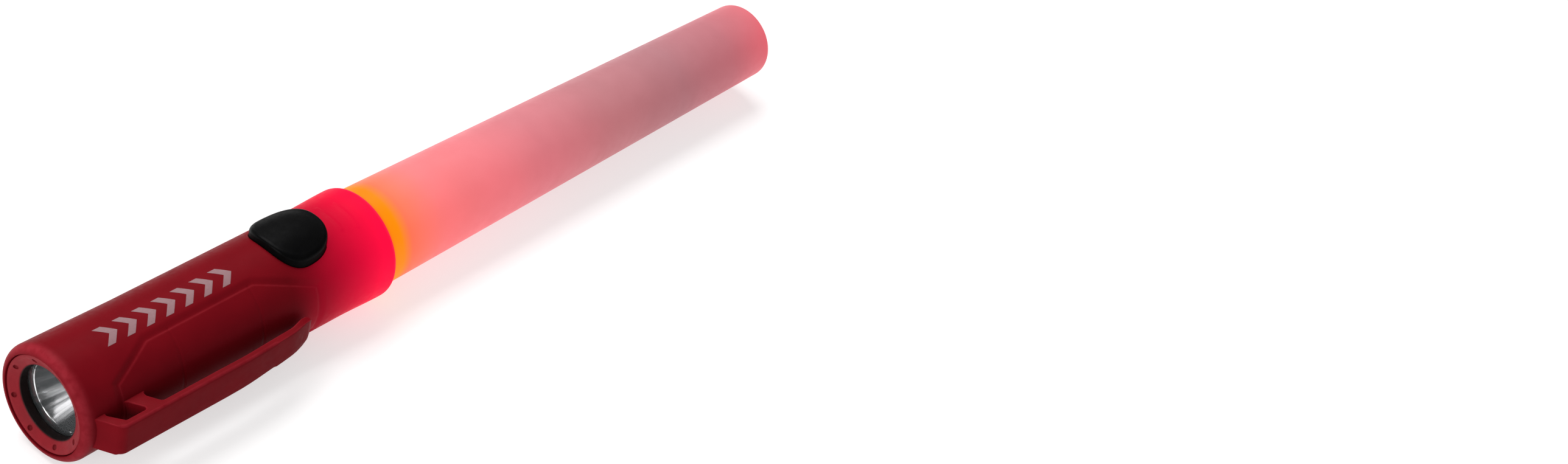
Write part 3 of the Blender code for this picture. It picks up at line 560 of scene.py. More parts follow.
def chrome_finish():
    """Vacuum-metallised bowl whose colour carries painted reflections: bold dark and bright stripes that run
    down to the lamp.
    """
    finish = Finish("reflector_chrome", 0.1, metallic=1.0)
    angle = finish.y.maths("ARCTAN2", finish.z)
    spokes = combine(finish.tree, angle.maths("SINE"), angle.maths("COSINE"), finish.x * 12.0)
    waves = {"Vector": spokes, "Scale": 1.3, "Detail": 3.0, "Roughness": 0.65}
    reflection_streaks = add(finish.tree, "ShaderNodeTexNoise", waves)
    # Painted reflections: the base colour runs from near-black to near-white along the stripes.
    finish.feed("Base Color", reflection_streaks.spread(0.44, 0.56).blend((0.03, 0.03, 0.033), (0.95, 0.95, 0.96)))
    finish.rough(0.07, 0.16, 2 * MM)
    finish.bump(reflection_streaks, 0.25 * MM, 0.6)
    return finish.material


def metal_finish(name, shade, dark, low, high):
    """Plated or turned metal with marks drawn along the axis."""
    finish = Finish(name, low, metallic=1.0)
    finish.mottled(shade, dark, 1.5 * MM)
    finish.rough(low, high, 1.5 * MM)
    finish.bump(finish.noise(0.3 * MM, stretch=(0.15, 1.0, 1.0)), 0.006 * MM)
    return finish.material


def turned_metal_finish():
    """Aluminium with the fine rings of a lathe."""
    finish = Finish("sink_aluminium", 0.3, metallic=1.0)
    rings = add(
        finish.tree, "ShaderNodeTexWave", {"Vector": finish.local, "Scale": 600.0, "Distortion": 0.6},
        output=1, wave_type="RINGS", rings_direction="X")
    finish.feed("Base Color", rings.blend((0.55, 0.56, 0.57), (0.74, 0.75, 0.76)))
    finish.rough(0.26, 0.40, 1.5 * MM)
    finish.bump(rings, 0.02 * MM)
    return finish.material


def board_finish():
    """Green solder mask over copper tracks."""
    finish = Finish("circuit_board", 0.35)
    cells = add(
        finish.tree, "ShaderNodeTexVoronoi", {"Vector": finish.local, "Scale": 900.0, "Randomness": 0.7},
        distance="CHEBYCHEV", feature="DISTANCE_TO_EDGE")
    tracks = cells.spread(0.06, 0.10)
    finish.feed("Base Color", tracks.blend((0.010, 0.080, 0.030), (0.030, 0.200, 0.080)))
    finish.rough(0.25, 0.42, 1.5 * MM)
    finish.bump(tracks, 0.02 * MM)
    return finish.material


def plastic_finish(name, shade, second, low, high):
    """Moulded plastic or rubber with a fine grain."""
    finish = Finish(name, low)
    finish.mottled(shade, second, 4 * MM)
    finish.rough(low, high, 1.5 * MM)
    finish.grain(0.25 * MM, 0.012 * MM)
    return finish.material


def cell_finish():
    """Shrink sleeve of a battery cell, with a lighter band by its positive end."""
    finish = Finish("cell_wrap", 0.3)
    low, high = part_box("cell_1")
    sleeve = finish.x.spread(low.x - FRONT, high.x - FRONT).ramp(
        (0.0, (0.45, 0.45, 0.44)), (0.012, (0.02, 0.04, 0.08)), (0.80, (0.03, 0.05, 0.09)),
        (0.81, (0.55, 0.38, 0.12)), (0.955, (0.60, 0.42, 0.14)), (0.965, (0.62, 0.62, 0.60)))
    scuffs = finish.noise(3 * MM).spread(0.3, 0.8, 0.0, 0.25)
    finish.feed("Base Color", scuffs.blend(sleeve, (0.10, 0.10, 0.11)))
    finish.rough(0.22, 0.38, 2 * MM)
    finish.bump(finish.noise(1.5 * MM, stretch=(0.4, 1.0, 1.0)), 0.03 * MM)
    return finish.material


def lamp_finish(name, shade, light, strength):
    """A light-emitting diode: a coloured chip under a clear dome."""
    finish = Finish(name, 0.15, coat_weight=0.6, coat_roughness=0.05)
    finish.mottled(shade, scaled(shade, 0.8), 0.8 * MM)
    finish.rough(0.10, 0.22, 0.8 * MM)
    finish.glow(finish.noise(0.6 * MM).spread(0.3, 0.7).blend(light, scaled(light, 0.7)), strength)
    return finish.material


# ---- geometry node trees


class ShapeTree:
    """A geometry node tree with named inputs, ending in Realize Instances and Set Material."""

    def __init__(self, name, **inputs):
        self.tree = bpy.data.node_groups.new(name, "GeometryNodeTree")
        interface = self.tree.interface
        interface.new_socket("Geometry", in_out="OUTPUT", socket_type="NodeSocketGeometry")
        interface.new_socket("Geometry", in_out="INPUT", socket_type="NodeSocketGeometry")
        self.values = {}
        for key, value in inputs.items():
            kind = "NodeSocketInt" if isinstance(value, int) else "NodeSocketFloat"
            if isinstance(value, bpy.types.Material):
                kind = "NodeSocketMaterial"
            label = key.replace("_", " ").capitalize()
            socket = interface.new_socket(label, in_out="INPUT", socket_type=kind)
            self.values[socket.identifier] = value
        self.source = self.tree.nodes.new("NodeGroupInput")

    def __getitem__(self, label):
        return Term(self.source.outputs[label])

    def add(self, kind, inputs=None, **settings):
        return add(self.tree, "GeometryNode" + kind, inputs, **settings)

    def grid(self, columns, rows):
        """A flat grid, one by one, that the tree bends into a surface."""
        sizes = {"Size X": 1.0, "Size Y": 1.0, "Vertices X": columns, "Vertices Y": rows}
        return self.add("MeshGrid", sizes)

    def grid_place(self):
        return separate(self.tree, self.add("InputPosition"))[:2]

    def bent(self, shape, x, y, z):
        spot = combine(self.tree, x, y, z)
        return self.add("SetPosition", {"Geometry": shape, "Position": spot})

    def finish(self, shape):
        realized = self.add("RealizeInstances", {0: shape})
        coloured = self.add("SetMaterial", {"Geometry": realized, "Material": self["Material"]})
        add_node(self.tree, "NodeGroupOutput", {0: coloured})
        return self

    def make(self, piece):
        """Runs the tree on a piece, and leaves it a plain mesh."""
        modifier = piece.modifiers.new(self.tree.name, "NODES")
        modifier.node_group = self.tree
        for identifier, value in self.values.items():
            modifier[identifier] = value
        settle(piece)


def wand_tree(**inputs):
    """A tube that tapers from its base to its tip, and closes in a soft-edged cap."""
    tree = ShapeTree("Tapered wand", **inputs)
    grid = tree.grid(tree["Rings"], tree["Sides"])
    across, side = tree.grid_place()
    along, turn = across + 0.5, (side + 0.5) * (2 * math.pi)
    taper = (along / TAPER_SHARE).maths("MINIMUM", 1.0)
    cap = ((along - TAPER_SHARE) / (1.0 - TAPER_SHARE)).maths("MAXIMUM", 0.0) * (math.pi / 2)
    cap_reach = cap.maths("SINE") ** tree["Cap softness"]
    cap_width = cap.maths("COSINE").maths("MAXIMUM", 0.0) ** tree["Cap softness"]
    x = taper * (tree["Length"] - tree["Cap length"]) + cap_reach * tree["Cap length"] + tree["Start"]
    radius = (tree["Base radius"] + taper * (tree["Tip radius"] - tree["Base radius"])) * cap_width
    y = radius * turn.maths("SINE") + tree["Axis y"]
    z = radius * turn.maths("COSINE") + tree["Axis z"]
    tube = tree.bent(grid, x, y, z)
    return tree.finish(tree.add("MergeByDistance", {"Geometry": tube, "Distance": 2e-6}))


def dimple_tree(**inputs):
    """Sinks a circle of round dimples into a ring that faces the front."""
    tree = ShapeTree("Ring dimples", **inputs)
    circle = tree.add("MeshCircle", {"Vertices": tree["Count"], "Radius": tree["Circle radius"]})
    spin = combine(tree.tree, 0.0, 0.0, tree["Phase"])
    spun = tree.add("Transform", {"Geometry": circle, "Rotation": spin})
    spot = combine(tree.tree, tree["Face"], tree["Axis y"], tree["Axis z"])
    upright = {"Geometry": spun, "Rotation": (0.0, math.pi / 2, 0.0), "Translation": spot}
    faced = tree.add("Transform", upright)
    ball = tree.add("MeshIcoSphere", {"Radius": tree["Dimple radius"], "Subdivisions": 4})
    balls = tree.add("InstanceOnPoints", {"Points": faced, "Instance": ball})
    solid = tree.add("RealizeInstances", {0: balls})
    cut = {"Mesh 1": tree["Geometry"], "Mesh 2": solid}
    return tree.finish(tree.add("MeshBoolean", cut, operation="DIFFERENCE", solver="EXACT"))


def chevron_tree(**inputs):
    """A row of chevrons wrapped around the barrel, pointing to the wand."""
    tree = ShapeTree("Chevron row", **inputs)
    line = tree.add("MeshLine", {"Count": tree["Count"], "Offset": (COPY_SPACING, 0.0, 0.0)})
    copies = tree.add("InstanceOnPoints", {"Points": line, "Instance": tree.grid(4, 25)})
    row = tree.add("RealizeInstances", {0: copies})
    place, side = tree.grid_place()
    number = (place / COPY_SPACING).maths("ROUND")
    across = place - number * COPY_SPACING
    start = tree["Start"] + number * tree["Pitch"]
    back = side.maths("ABSOLUTE") * (tree["Sweep"] * 2.0)
    x = start + (across * tree["Stroke"] - back)
    radius = tree["Head radius"] - x.spread(RIM_LENGTH, WAIST_START) * tree["Flare"]
    turn = tree["Turn"] + side * tree["Height"] / tree["Head radius"]
    y = tree["Axis y"] - radius * turn.maths("SINE")
    z = tree["Axis z"] + radius * turn.maths("COSINE")
    return tree.finish(tree.bent(row, x + tree["Front"], y, z))


# ---- the body's outside


def barrel_radius(x, flare):
    """Outer radius along the body, before its relief."""
    head = np.clip((WAIST_START - x) / (WAIST_START - RIM_LENGTH), 0.0, 1.0)
    collar = smooth((x - COLLAR_START) / (BODY_LENGTH - LIP_LENGTH - COLLAR_START))
    return END_RADIUS - flare + flare * (head + collar)


def panel_distance(x, turn, radius):
    """Distance outside the sunk panel's outline, measured on the unrolled barrel."""
    corners = np.array([(px * MM, radius * math.radians(pt)) for px, pt in PANEL])
    point = np.stack([x, radius * np.radians(turn)], axis=-1)
    farthest = np.full(x.shape, -1.0)
    for first, second in zip(corners, np.roll(corners, -1, axis=0)):
        edge = (second - first) / np.linalg.norm(second - first)
        outward = np.array([edge[1], -edge[0]])
        farthest = np.maximum(farthest, (point - first) @ outward)
    return farthest


def button_ratio(x, y):
    """1 on the button's outline seen from above, less inside and more outside."""
    along = (x - BUTTON_MIDDLE) / BUTTON_HALF_LENGTH
    half = BUTTON_HALF_WIDTH * (1.0 - BUTTON_NARROWING * np.clip(along, -1.3, 1.3))
    power = BUTTON_SQUARENESS
    return (np.abs(along) ** power + np.abs(y / half) ** power) ** (1.0 / power)


def button_outline(margin, count=72):
    """The button from above: a rounded shield, a little narrower to the rear."""
    turn = np.arange(count) * 2 * math.pi / count
    along, across = (
        np.sign(swing) * np.abs(swing) ** (2.0 / BUTTON_SQUARENESS) for swing in (np.cos(turn), np.sin(turn)))
    width = (BUTTON_HALF_WIDTH + margin) * across * (1.0 - BUTTON_NARROWING * along)
    return np.stack([(BUTTON_HALF_LENGTH + margin) * along, width], axis=-1)


def body_relief(x, turn, sizes):
    """Height of the panel, creases, ribs and the edge of the button's opening."""
    radius = END_RADIUS - sizes.flare
    distance = panel_distance(x, turn, radius)
    floor, groove = sizes.panel_depth, sizes.panel_depth + 0.16 * MM
    inside = -floor - (groove - floor) * smooth(1.0 + distance / (0.5 * MM))
    outside = -groove * (1.0 - smooth(distance / sizes.panel_slope))
    height = np.where(distance < 0.0, inside, outside)
    for place in CREASES:
        across = np.clip(1.0 - np.abs(x - place) / (0.55 * MM), 0.0, 1.0)
        height = height - 0.13 * MM * smooth(across) * smooth(-distance / (0.6 * MM) + 1.0)
    for place, middle, half in RIBS:
        across = np.clip(1.0 - np.abs(x - place) / (0.95 * MM), 0.0, 1.0)
        swing = np.abs((turn + 180.0) % 360.0 - 180.0 - middle)
        height = height + sizes.rib_height * smooth(across) * smooth((half + 2.0 - swing) / 4.0)
    beyond = (button_ratio(x, -radius * np.sin(np.radians(turn))) - 1.0) * BUTTON_MEAN_HALF
    near = np.clip(1.0 - (beyond - 0.15 * MM) / (0.75 * MM), 0.0, 1.0) * (np.cos(np.radians(turn)) > 0.3)
    return height - 0.30 * MM * near ** 2, distance


def make_barrel_mesh(sizes):
    """The body's whole surface: rim, barrel and collar outside, the stepped bore inside."""
    turns = np.concatenate([np.arange(-24.0, 168.0, 0.92), np.arange(168.0, 336.0, 2.4)])
    rim_turn = np.radians(np.linspace(0.0, 90.0, 13))
    rim_x = RIM_LENGTH * (1.0 - np.cos(rim_turn))
    rim_r = END_RADIUS - RIM_ROUND + RIM_ROUND * np.sin(rim_turn)
    middle_x = np.concatenate([
        np.arange(3.6, 10.0, 0.9), np.arange(10.0, 84.0, 0.36), np.arange(84.0, 94.0, 0.6),
        np.arange(94.0, 102.6, 0.3), np.arange(103.2, 107.6, 0.9)]) * MM
    lip_turn = np.radians(np.linspace(0.0, 90.0, 9))
    lip_x = BODY_LENGTH - LIP_LENGTH * (1.0 - np.sin(lip_turn))
    lip_r = END_RADIUS - LIP_ROUND * (1.0 - np.cos(lip_turn))
    mouth = END_RADIUS - 1.4 * MM
    pocket = RING_RADIUS + FIT_GAP
    step_x = WAND_START - FIT_GAP
    pocket_x = RING_HIGH.x - FRONT + FIT_GAP
    inside = [
        (BODY_LENGTH, mouth + 0.15 * MM), (BODY_LENGTH - 0.15 * MM, mouth), (step_x, mouth),
        (step_x, BORE_RADIUS), (pocket_x, BORE_RADIUS), (pocket_x, pocket), (0.12 * MM, pocket),
        (0.0, pocket + 0.1 * MM)]
    x = np.concatenate([rim_x, middle_x, lip_x, [spot[0] for spot in inside]])
    r = np.concatenate([rim_r, barrel_radius(middle_x, sizes.flare), lip_r, [spot[1] for spot in inside]])
    grid_x, grid_turn = np.meshgrid(x, turns, indexing="ij")
    grid_r = np.repeat(r[:, None], len(turns), axis=1)
    height, distance = body_relief(grid_x, grid_turn, sizes)
    outer = slice(len(rim_x), len(rim_x) + len(middle_x))
    grid_r[outer] += height[outer]
    mesh = loft("torch_body", placed(around(grid_x, grid_r, grid_turn)), closed=True)
    # The edge share lightens the body red: partly edge wear, partly a painted highlight along the rim, the
    # panel's outline and the lip.
    edge = np.zeros_like(grid_x)
    edge[:len(rim_x)] = np.sin(2 * rim_turn)[:, None] * 0.75 + 0.25
    edge[outer] = np.clip(1.0 - np.abs(distance[outer] + 0.28 * MM) / (0.34 * MM), 0.0, 1.0) * 0.4
    start = len(rim_x) + len(middle_x)
    edge[start:start + len(lip_x)] = np.sin(2 * lip_turn)[:, None]
    paint_points(mesh, "edge", edge)
    return mesh


class BATON_OT_torch_body(bpy.types.Operator):
    """Builds the red body: flared head and collar, sunk panel, finger ribs and the button's opening"""

    bl_idname = "baton.torch_body"
    bl_label = "Torch Body"

    def execute(self, context):
        material = red_body_finish(context.scene.baton_colours)
        body = new_piece("torch_body", make_barrel_mesh(context.scene.baton_sizes), material)
        outline = button_outline(BUTTON_GAP) + [BUTTON_MIDDLE, 0.0]
        ends = BUTTON_LOW.z - AXIS_Z - 3 * MM, END_RADIUS * 1.3
        rings = [placed(level(outline, z)) for z in ends]
        tool = new_piece("opening_tool", loft("opening_tool", rings, caps=True))
        face_outwards(tool.data)
        face_outwards(body.data)
        opening = body.modifiers.new("Opening", "BOOLEAN")
        opening.operation = "DIFFERENCE"
        opening.solver = "EXACT"
        opening.object = tool
        settle(body)
        bpy.data.objects.remove(tool)
        if len(body.data.polygons) < BODY_FACES:
            raise RuntimeError("the button's opening wasn't cut cleanly")
        soften(body)
        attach(body, "body")
        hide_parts("body_shell")
        return {"FINISHED"}


def clip_outline(sizes):
    """The clip from the side, as points of (x, reach from the axis)."""
    outer = CLIP_OUTER / MM
    inner = outer - sizes.clip_thickness / MM
    root = BORE_RADIUS / MM + 0.7
    corners = [
        (1.9, root, 0.0), (2.0, 14.9, 0.3), (3.3, 15.75, 1.2), (6.6, outer, 3.0), (49.0, outer, 90.0),
        (67.0, outer - 1.35, 24.0), (73.0, 19.3, 4.0), (75.6, 17.7, 0.6), (75.1, 17.2, 0.3),
        (73.6, 17.1, 1.0), (71.4, 17.6, 2.5), (67.0, 19.0, 9.0), (48.0, inner, 90.0),
        (20.9, inner, 1.4), (18.6, 15.9, 1.4),
        (19.8, 14.9, 0.15), (19.8, root, 0.0), (12.7, root, 0.0), (12.7, 14.9, 0.15), (13.8, 15.9, 1.2),
        (16.3, inner, 0.7), (9.1, inner, 0.7), (6.2, 16.1, 1.0), (6.9, 14.9, 0.15), (6.9, root, 0.0)]
    return rounded_path([(a * MM, b * MM, c * MM) for a, b, c in corners], 1.1 * MM)


def taper_sides(mesh, cuts, half):
    """Cuts the clip across at each place, then draws its sides in towards a round tip."""
    (taper_start, taper_length, taper), (tip_start, tip_length, tip) = CLIP_TAPER, CLIP_TIP
    shape = bmesh.new()
    shape.from_mesh(mesh)
    for place in placed([(cut, 0.0, 0.0) for cut in cuts]):
        everything = shape.verts[:] + shape.edges[:] + shape.faces[:]
        bmesh.ops.bisect_plane(
            shape, geom=everything, plane_co=place, plane_no=(1.0, 0.0, 0.0), dist=1e-7)
    for point in shape.verts:
        x = point.co.x - FRONT
        into_tip = min(max((x - tip_start) / tip_length, 0.0), 1.0)
        narrowing = taper * float(smooth((x - taper_start) / taper_length))
        narrowing += tip * (1.0 - math.sqrt(1.0 - into_tip ** 2))
        point.co.z = AXIS_Z + (point.co.z - AXIS_Z) * (1.0 - narrowing / half)
    shape.to_mesh(mesh)
    shape.free()


def inward_normals(outline):
    """Unit normals of a closed outline, pointing into it."""
    tangent = np.roll(outline, -1, axis=0) - np.roll(outline, 1, axis=0)
    tangent /= np.linalg.norm(tangent, axis=1)[:, None]
    x, y = outline.T
    area = np.sum(x * np.roll(y, -1) - np.roll(x, -1) * y)
    return np.stack([-tangent[:, 1], tangent[:, 0]], axis=-1) * math.copysign(1.0, area)


def clip_rings(outline, sizes):
    """The clip's outline across its width, with its long edges rounded."""
    x, reach = outline.T
    half, bend, steps = sizes.clip_width / 2, 60 * MM, 6
    outer_side = smooth((reach - (CLIP_OUTER - 1.6 * MM)) / (0.8 * MM)) * (x < bend)
    outer_side = outer_side + smooth((x - bend) / (8 * MM)) * 0.3
    rounding = (0.34 + 0.62 * np.clip(outer_side, 0.0, 1.0)) * MM
    rounding = np.where(x > 70 * MM, np.minimum(rounding, 0.32 * MM), rounding)
    inward = inward_normals(outline)
    rows = []
    for sign, turns in ((-1.0, np.linspace(90.0, 0.0, steps)), (1.0, np.linspace(0.0, 90.0, steps))):
        for turn in np.radians(turns):
            spot = outline + inward * (rounding * (1.0 - math.cos(turn)))[:, None]
            side = sign * (half - rounding * (1.0 - math.sin(turn)))
            rows.append(np.column_stack([spot[:, 0], -spot[:, 1], side]))
    before, after = rows[:steps], rows[steps:]
    middle = [before[-1] * (1 - share) + after[0] * share for share in (0.25, 0.5, 0.75)]
    return np.array(before + middle + after)


class BATON_OT_belt_clip(bpy.types.Operator):
    """Builds the belt clip in one piece: foot, lanyard hole, web and springy arm"""

    bl_idname = "baton.belt_clip"
    bl_label = "Belt Clip"

    def execute(self, context):
        sizes = context.scene.baton_sizes
        outline = clip_outline(sizes)
        rings = clip_rings(outline, sizes)
        # The edge share lightens the body red: partly wear, partly a painted highlight on the clip's rounded
        # long edges, weaker at its foot by the barrel.
        edge = np.zeros(rings.shape[:2])
        edge[[1, 2, 3, -2, -3, -4]] = 0.55
        edge[:, outline[:, 1] < 16.2 * MM] *= 0.2
        mesh = loft("belt_clip", placed(rings), caps=True)
        paint_points(mesh, "edge", edge)
        face_outwards(mesh)
        cuts = np.concatenate([np.arange(41.0, 68.0, 2.0), np.linspace(68.0, 75.2, 18)]) * MM
        taper_sides(mesh, cuts, sizes.clip_width / 2)
        clip = new_piece("belt_clip", mesh, bpy.data.objects["torch_body"].data.materials[0])
        sides = clip.modifiers.new("Triangulate", "TRIANGULATE")
        sides.min_vertices = 5
        settle(clip)
        soften(clip, 40.0)
        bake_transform(clip)
        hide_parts("clip_arm")
        return {"FINISHED"}


class BATON_OT_bezel_ring(bpy.types.Operator):
    """Builds the dished ring around the lens, and sinks its circle of dimples"""

    bl_idname = "baton.bezel_ring"
    bl_label = "Bezel Ring"

    def execute(self, context):
        sizes = context.scene.baton_sizes
        material = red_ring_finish(context.scene.baton_colours)
        front, back, edge = (RING_LOW.x - FRONT) / MM, (RING_HIGH.x - FRONT) / MM, RING_RADIUS / MM + 0.12
        corners = [
            (front, edge, 0.25), (front + 0.10, edge - 0.9, 0.8), (front + 1.25, 10.75, 0.3),
            (front + 1.60, 10.3, 0.25), (back, 10.2, 0.15), (back, edge, 0.15)]
        outline = rounded_path([(a * MM, b * MM, c * MM) for a, b, c in corners], 0.6 * MM)
        ring = new_piece("head_ring", turned("head_ring", outline, 160), material)
        face = FRONT + (front + 0.42) * MM
        dimple_tree(
            count=sizes.dimple_count, circle_radius=DIMPLE_CIRCLE, dimple_radius=sizes.dimple_radius,
            phase=math.pi / sizes.dimple_count, face=face, axis_y=AXIS_Y, axis_z=AXIS_Z,
            material=material).make(ring)
        if len(ring.data.polygons) < RING_FACES:
            raise RuntimeError("the dimples weren't cut cleanly")
        points = np.array([vertex.co for vertex in ring.data.vertices]) - placed((0.0, 0.0, 0.0))
        angles = np.arctan2(points[:, 1], points[:, 2])
        pitch = 2 * math.pi / sizes.dimple_count
        nearest = (np.round(angles / pitch - 0.5) + 0.5) * pitch
        depth = np.full(len(points), face - FRONT)
        centres = np.stack([depth, DIMPLE_CIRCLE * np.sin(nearest), DIMPLE_CIRCLE * np.cos(nearest)], axis=-1)
        away = np.linalg.norm(points - centres, axis=1)
        # The pit share: where painted shade darkens the dimples.
        paint_points(ring.data, "pit", np.clip((sizes.dimple_radius * 1.15 - away) / (0.25 * MM), 0.0, 1.0))
        radius = np.hypot(points[:, 1], points[:, 2])
        # The wall share: where the inner wall gets painted near-black shade.
        paint_points(ring.data, "wall", np.clip((RING_WALL - radius) / (0.12 * MM), 0.0, 1.0))
        soften(ring)
        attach(ring, "body")
        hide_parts("bezel_ring")
        return {"FINISHED"}


class BATON_OT_torch_optics(bpy.types.Operator):
    """Builds the smooth chrome bowl around the front lamp"""

    bl_idname = "baton.torch_optics"
    bl_label = "Torch Optics"

    def execute(self, context):
        front, back = BOWL_LOW.x - FRONT, BOWL_HIGH.x - FRONT
        mouth, neck, rim = BOWL_MOUTH, BOWL_NECK, BORE_RADIUS - FIT_GAP
        shoulder = front + 0.8 * MM
        share = np.linspace(0.0, 1.0, 40) ** 1.5
        bowl_x = front + 0.35 * MM + (back - front - 0.35 * MM) * share
        bowl_r = neck + (mouth - 0.45 * MM - neck) * np.sqrt(1.0 - share)
        keep = bowl_x > front + 1.1 * MM
        outline = np.concatenate([
            [(front, mouth), (front + 0.08 * MM, mouth - 0.30 * MM), (front + 0.22 * MM, mouth - 0.42 * MM)],
            np.column_stack([bowl_x, bowl_r]),
            np.column_stack([bowl_x, bowl_r + BOWL_WALL])[keep][::-1],
            [(shoulder, mouth + BOWL_WALL), (shoulder, rim), (front, rim), (front, mouth + 0.5 * MM),
             (front + 0.12 * MM, mouth + 0.3 * MM), (front + 0.05 * MM, mouth + 0.1 * MM)]])
        bowl = new_piece("reflector_bowl", turned("reflector_bowl", outline, 120), chrome_finish())
        soften(bowl, 40.0)
        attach(bowl, "body")
        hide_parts("reflector")
        return {"FINISHED"}


class BATON_OT_push_button(bpy.types.Operator):
    """Builds the rubber button: a crowned shield with a rolled front edge, a skirt, and a nub beneath"""

    bl_idname = "baton.push_button"
    bl_label = "Push Button"

    def execute(self, context):
        outline = button_outline(0.0)
        barrel = END_RADIUS - context.scene.baton_sizes.flare
        bottom = BUTTON_LOW.z - AXIS_Z
        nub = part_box("switch_plunger")[1].z - AXIS_Z + 0.3 * MM
        roof = nub + 1.3 * MM
        skirt, stub = 1.0 - 1.6 / 9.5, 2.0 / 9.8    # as shares of the outline
        levels = [(stub, nub), (stub, roof), (skirt, roof), (skirt, bottom), (1.0, bottom)]
        rings = [level(outline * scale, z) for scale, z in levels]
        crown = [
            (1.0, 0.0), (1.0, 1.15), (0.997, 1.45), (0.985, 1.74), (0.965, 1.95), (0.938, 2.06),
            (0.905, 2.08), (0.865, 2.09), (0.80, 2.20), (0.72, 2.37), (0.62, 2.58), (0.50, 2.78),
            (0.38, 2.92), (0.26, 3.02), (0.14, 3.08), (0.04, 3.10)]
        for scale, height in crown:
            spot = outline * scale
            rings.append(np.column_stack([spot, np.sqrt((barrel + height * MM) ** 2 - spot[:, 1] ** 2)]))
        rings = placed(np.array(rings) + [BUTTON_MIDDLE, 0.0, 0.0])
        mesh = loft("push_button", rings, caps=True)
        edge = np.zeros(rings.shape[:2])
        edge[len(levels) + 2:len(levels) + 7] = 1.0
        paint_points(mesh, "edge", edge)
        face_outwards(mesh)
        button = new_piece("push_button", mesh, button_finish(context.scene.baton_colours))
        soften(button, 50.0)
        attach(button, "button")
        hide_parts("button")
        return {"FINISHED"}


class BATON_OT_light_wand(bpy.types.Operator):
    """Builds the frosted tube from its taper and soft cap, and gives it a wall"""

    bl_idname = "baton.light_wand"
    bl_label = "Light Wand"

    def execute(self, context):
        material = wand_finish(context.scene.baton_colours)
        wand = new_piece("light_wand", bpy.data.meshes.new("light_wand"))
        wand_tree(
            rings=66, sides=129, start=TUBE_LOW.x, length=TUBE_HIGH.x - TUBE_LOW.x,
            base_radius=(TUBE_HIGH.z - TUBE_LOW.z) / 2, tip_radius=TIP_RADIUS, cap_length=CAP_LENGTH,
            cap_softness=0.8, axis_y=AXIS_Y, axis_z=AXIS_Z, material=material).make(wand)
        face_outwards(wand.data)
        wall = wand.modifiers.new("Wall", "SOLIDIFY")
        wall.thickness = context.scene.baton_sizes.wand_wall
        wall.offset = -1.0
        settle(wand)
        soften(wand)
        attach(wand, "wand")
        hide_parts("wand_tube")
        return {"FINISHED"}


class BATON_OT_printed_marks(bpy.types.Operator):
    """Prints a row of plain chevrons along the barrel"""

    bl_idname = "baton.printed_marks"
    bl_label = "Printed Marks"

    def execute(self, context):
        sizes = context.scene.baton_sizes
        material = marks_finish(context.scene.baton_colours)
        marks = new_piece("printed_marks", bpy.data.meshes.new("printed_marks"))
        chevron_tree(
            count=sizes.mark_count, pitch=sizes.mark_pitch, start=MARK_START - sizes.mark_pitch,
            stroke=MARK_STROKE, sweep=MARK_SWEEP, height=MARK_HEIGHT, head_radius=END_RADIUS + INK_LIFT,
            flare=sizes.flare, turn=MARK_TURN, front=FRONT, axis_y=AXIS_Y, axis_z=AXIS_Z,
            material=material).make(marks)
        face_outwards(marks.data)
        film = marks.modifiers.new("Film", "SOLIDIFY")
        film.thickness = INK_THICKNESS
        film.offset = -1.0
        settle(marks)
        soften(marks)
        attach(marks, "body")
        return {"FINISHED"}


class BATON_OT_inner_parts(bpy.types.Operator):
    """Finishes the parts inside the body and the wand"""

    bl_idname = "baton.inner_parts"
    bl_label = "Inner Parts"

    def execute(self, context):
        board, cell = board_finish(), cell_finish()
        steel = metal_finish("spring_steel", (0.62, 0.62, 0.60), (0.42, 0.42, 0.41), 0.22, 0.36)
        brass = metal_finish("contact_brass", (0.72, 0.52, 0.22), (0.52, 0.36, 0.14), 0.24, 0.38)
        black = plastic_finish("black_plastic", (0.012, 0.012, 0.013), (0.022, 0.022, 0.023), 0.42, 0.56)
        white = plastic_finish("white_plastic", (0.78, 0.76, 0.73), (0.84, 0.82, 0.80), 0.35, 0.48)
        rubber = plastic_finish("seal_rubber", (0.010, 0.010, 0.010), (0.018, 0.018, 0.018), 0.55, 0.70)
        groups = (
            (lens_finish(), "front_lens"), (turned_metal_finish(), "heat_sink"),
            (rubber, "lens_seal wand_seal"), (black, "tact_switch carrier_frame"),
            (white, "switch_plunger tip_reflector wand_plug"),
            (board, "front_led_board front_contact_board switch_board wand_light_board"),
            (lamp_finish("led_phosphor", (0.85, 0.62, 0.12), (0.9, 0.7, 0.2), 0.25), "front_led"),
            (lamp_finish("led_red", (0.90, 0.16, 0.05), (1.0, 0.20, 0.05), 3.0), "wand_led"),
            (cell, "cell_1 cell_2 cell_3"),
            (brass, "contact_strip contact_tab_1 contact_tab_2 contact_tab_3"),
            (steel, "front_contact_spring wand_contact_spring cell_spring_1 cell_spring_2 cell_spring_3"))
        for material, names in groups:
            for name in names.split():
                node = NODES[name]
                if not node.data.materials:
                    node.data.materials.append(material)
                for slot in node.material_slots:
                    slot.material = material
        return {"FINISHED"}


def add_light(name, place, target, size, power):
    """A soft rectangular light that faces a target."""
    lamp = bpy.data.lights.new(name, "AREA")
    lamp.shape = "RECTANGLE"
    lamp.size, lamp.size_y = size
    lamp.energy = power
    light = bpy.data.objects.new(name, lamp)
    bpy.context.scene.collection.objects.link(light)
    light.location = place
    light.rotation_euler = (Vector(target) - Vector(place)).to_track_quat("-Z", "Y").to_euler()


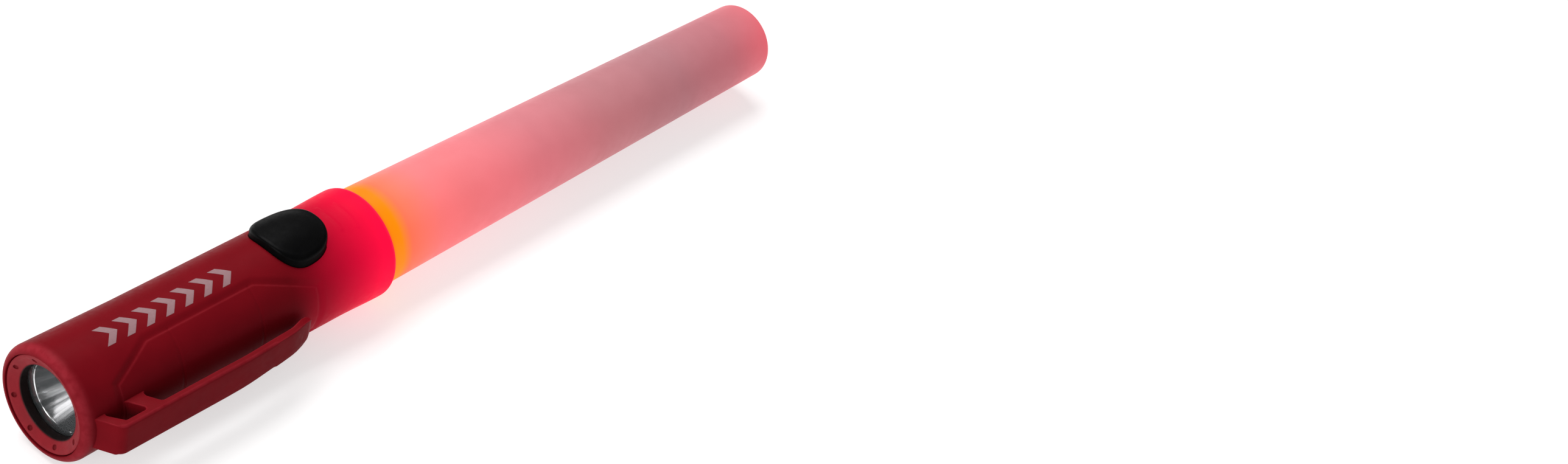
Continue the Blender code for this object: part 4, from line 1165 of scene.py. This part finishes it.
class BATON_OT_stage(bpy.types.Operator):
    """Sets the pale floor, the soft studio light and the camera"""

    bl_idname = "baton.stage"
    bl_label = "Studio"

    def execute(self, context):
        scene = context.scene
        finish = Finish(
            "studio_floor", 0.9, specular_ior_level=0.1, emission_color=(*WHITE, 1.0), emission_strength=0.62)
        finish.mottled((0.44, 0.44, 0.44), (0.46, 0.46, 0.46), 60 * MM)
        finish.rough(0.85, 0.95, 40 * MM)
        signs = (-1, -1), (1, -1), (1, 1), (-1, 1)
        corners = [(FLOOR_HALF * x, FLOOR_HALF * y, -FLOOR_DROP) for x, y in signs]
        mesh = bpy.data.meshes.new("studio_floor")
        mesh.from_pydata(corners, [], [(0, 1, 2, 3)])
        floor = new_piece("studio_floor", mesh, finish.material)

        world = scene.world or bpy.data.worlds.new("Studio")
        scene.world = world
        world.use_nodes = True
        nodes = world.node_tree.nodes
        background = nodes.get("Background") or nodes.new("ShaderNodeBackground")
        background.inputs["Color"].default_value = (*WHITE, 1.0)
        background.inputs["Strength"].default_value = 0.30
        add_light("overhead", (0.10, 0.75, 1.60), (0.0, 0.0, 0.0), (1.8, 1.2), 42.0)
        add_light("front_side", (-1.20, -0.10, 0.35), (-0.10, 0.0, 0.02), (0.6, 0.5), 7.0)

        camera_data = bpy.data.cameras.new("camera")
        camera_data.lens = 65.93
        camera_data.sensor_width = 36.0
        camera_data.clip_start = 0.01
        camera = bpy.data.objects.new("camera", camera_data)
        scene.collection.objects.link(camera)
        turn = Matrix((CAMERA_RIGHT, CAMERA_UP, -CAMERA_AHEAD)).transposed().to_4x4()
        camera.matrix_world = Matrix.Translation(placed(CAMERA_PLACE)) @ turn
        scene.camera = camera
        scene.view_settings.view_transform = "Standard"
        return {"FINISHED"}


PIECES = (
    BATON_OT_torch_body, BATON_OT_belt_clip, BATON_OT_bezel_ring, BATON_OT_torch_optics, BATON_OT_push_button,
    BATON_OT_light_wand, BATON_OT_printed_marks, BATON_OT_inner_parts, BATON_OT_stage)


class BATON_PT_builder(bpy.types.Panel):
    """Lists the baton's pieces, its sizes and its colours"""

    bl_label = "Traffic Baton"
    bl_idname = "BATON_PT_builder"
    bl_space_type = "VIEW_3D"
    bl_region_type = "UI"
    bl_category = "Baton"

    def draw(self, context):
        for piece in PIECES:
            self.layout.operator(piece.bl_idname)
        for group in (context.scene.baton_sizes, context.scene.baton_colours):
            box = self.layout.box()
            for name in group.__annotations__:
                box.prop(group, name)


CLASSES = (BatonSizes, BatonColours, *PIECES, BATON_PT_builder)


def register():
    for item in CLASSES:
        bpy.utils.register_class(item)
    bpy.types.Scene.baton_sizes = PointerProperty(type=BatonSizes)
    bpy.types.Scene.baton_colours = PointerProperty(type=BatonColours)


def unregister():
    del bpy.types.Scene.baton_colours
    del bpy.types.Scene.baton_sizes
    for item in reversed(CLASSES):
        bpy.utils.unregister_class(item)


def main():
    register()
    for piece in PIECES:
        section, name = piece.bl_idname.split(".")
        getattr(getattr(bpy.ops, section), name)()


if __name__ == "__main__":
    main()
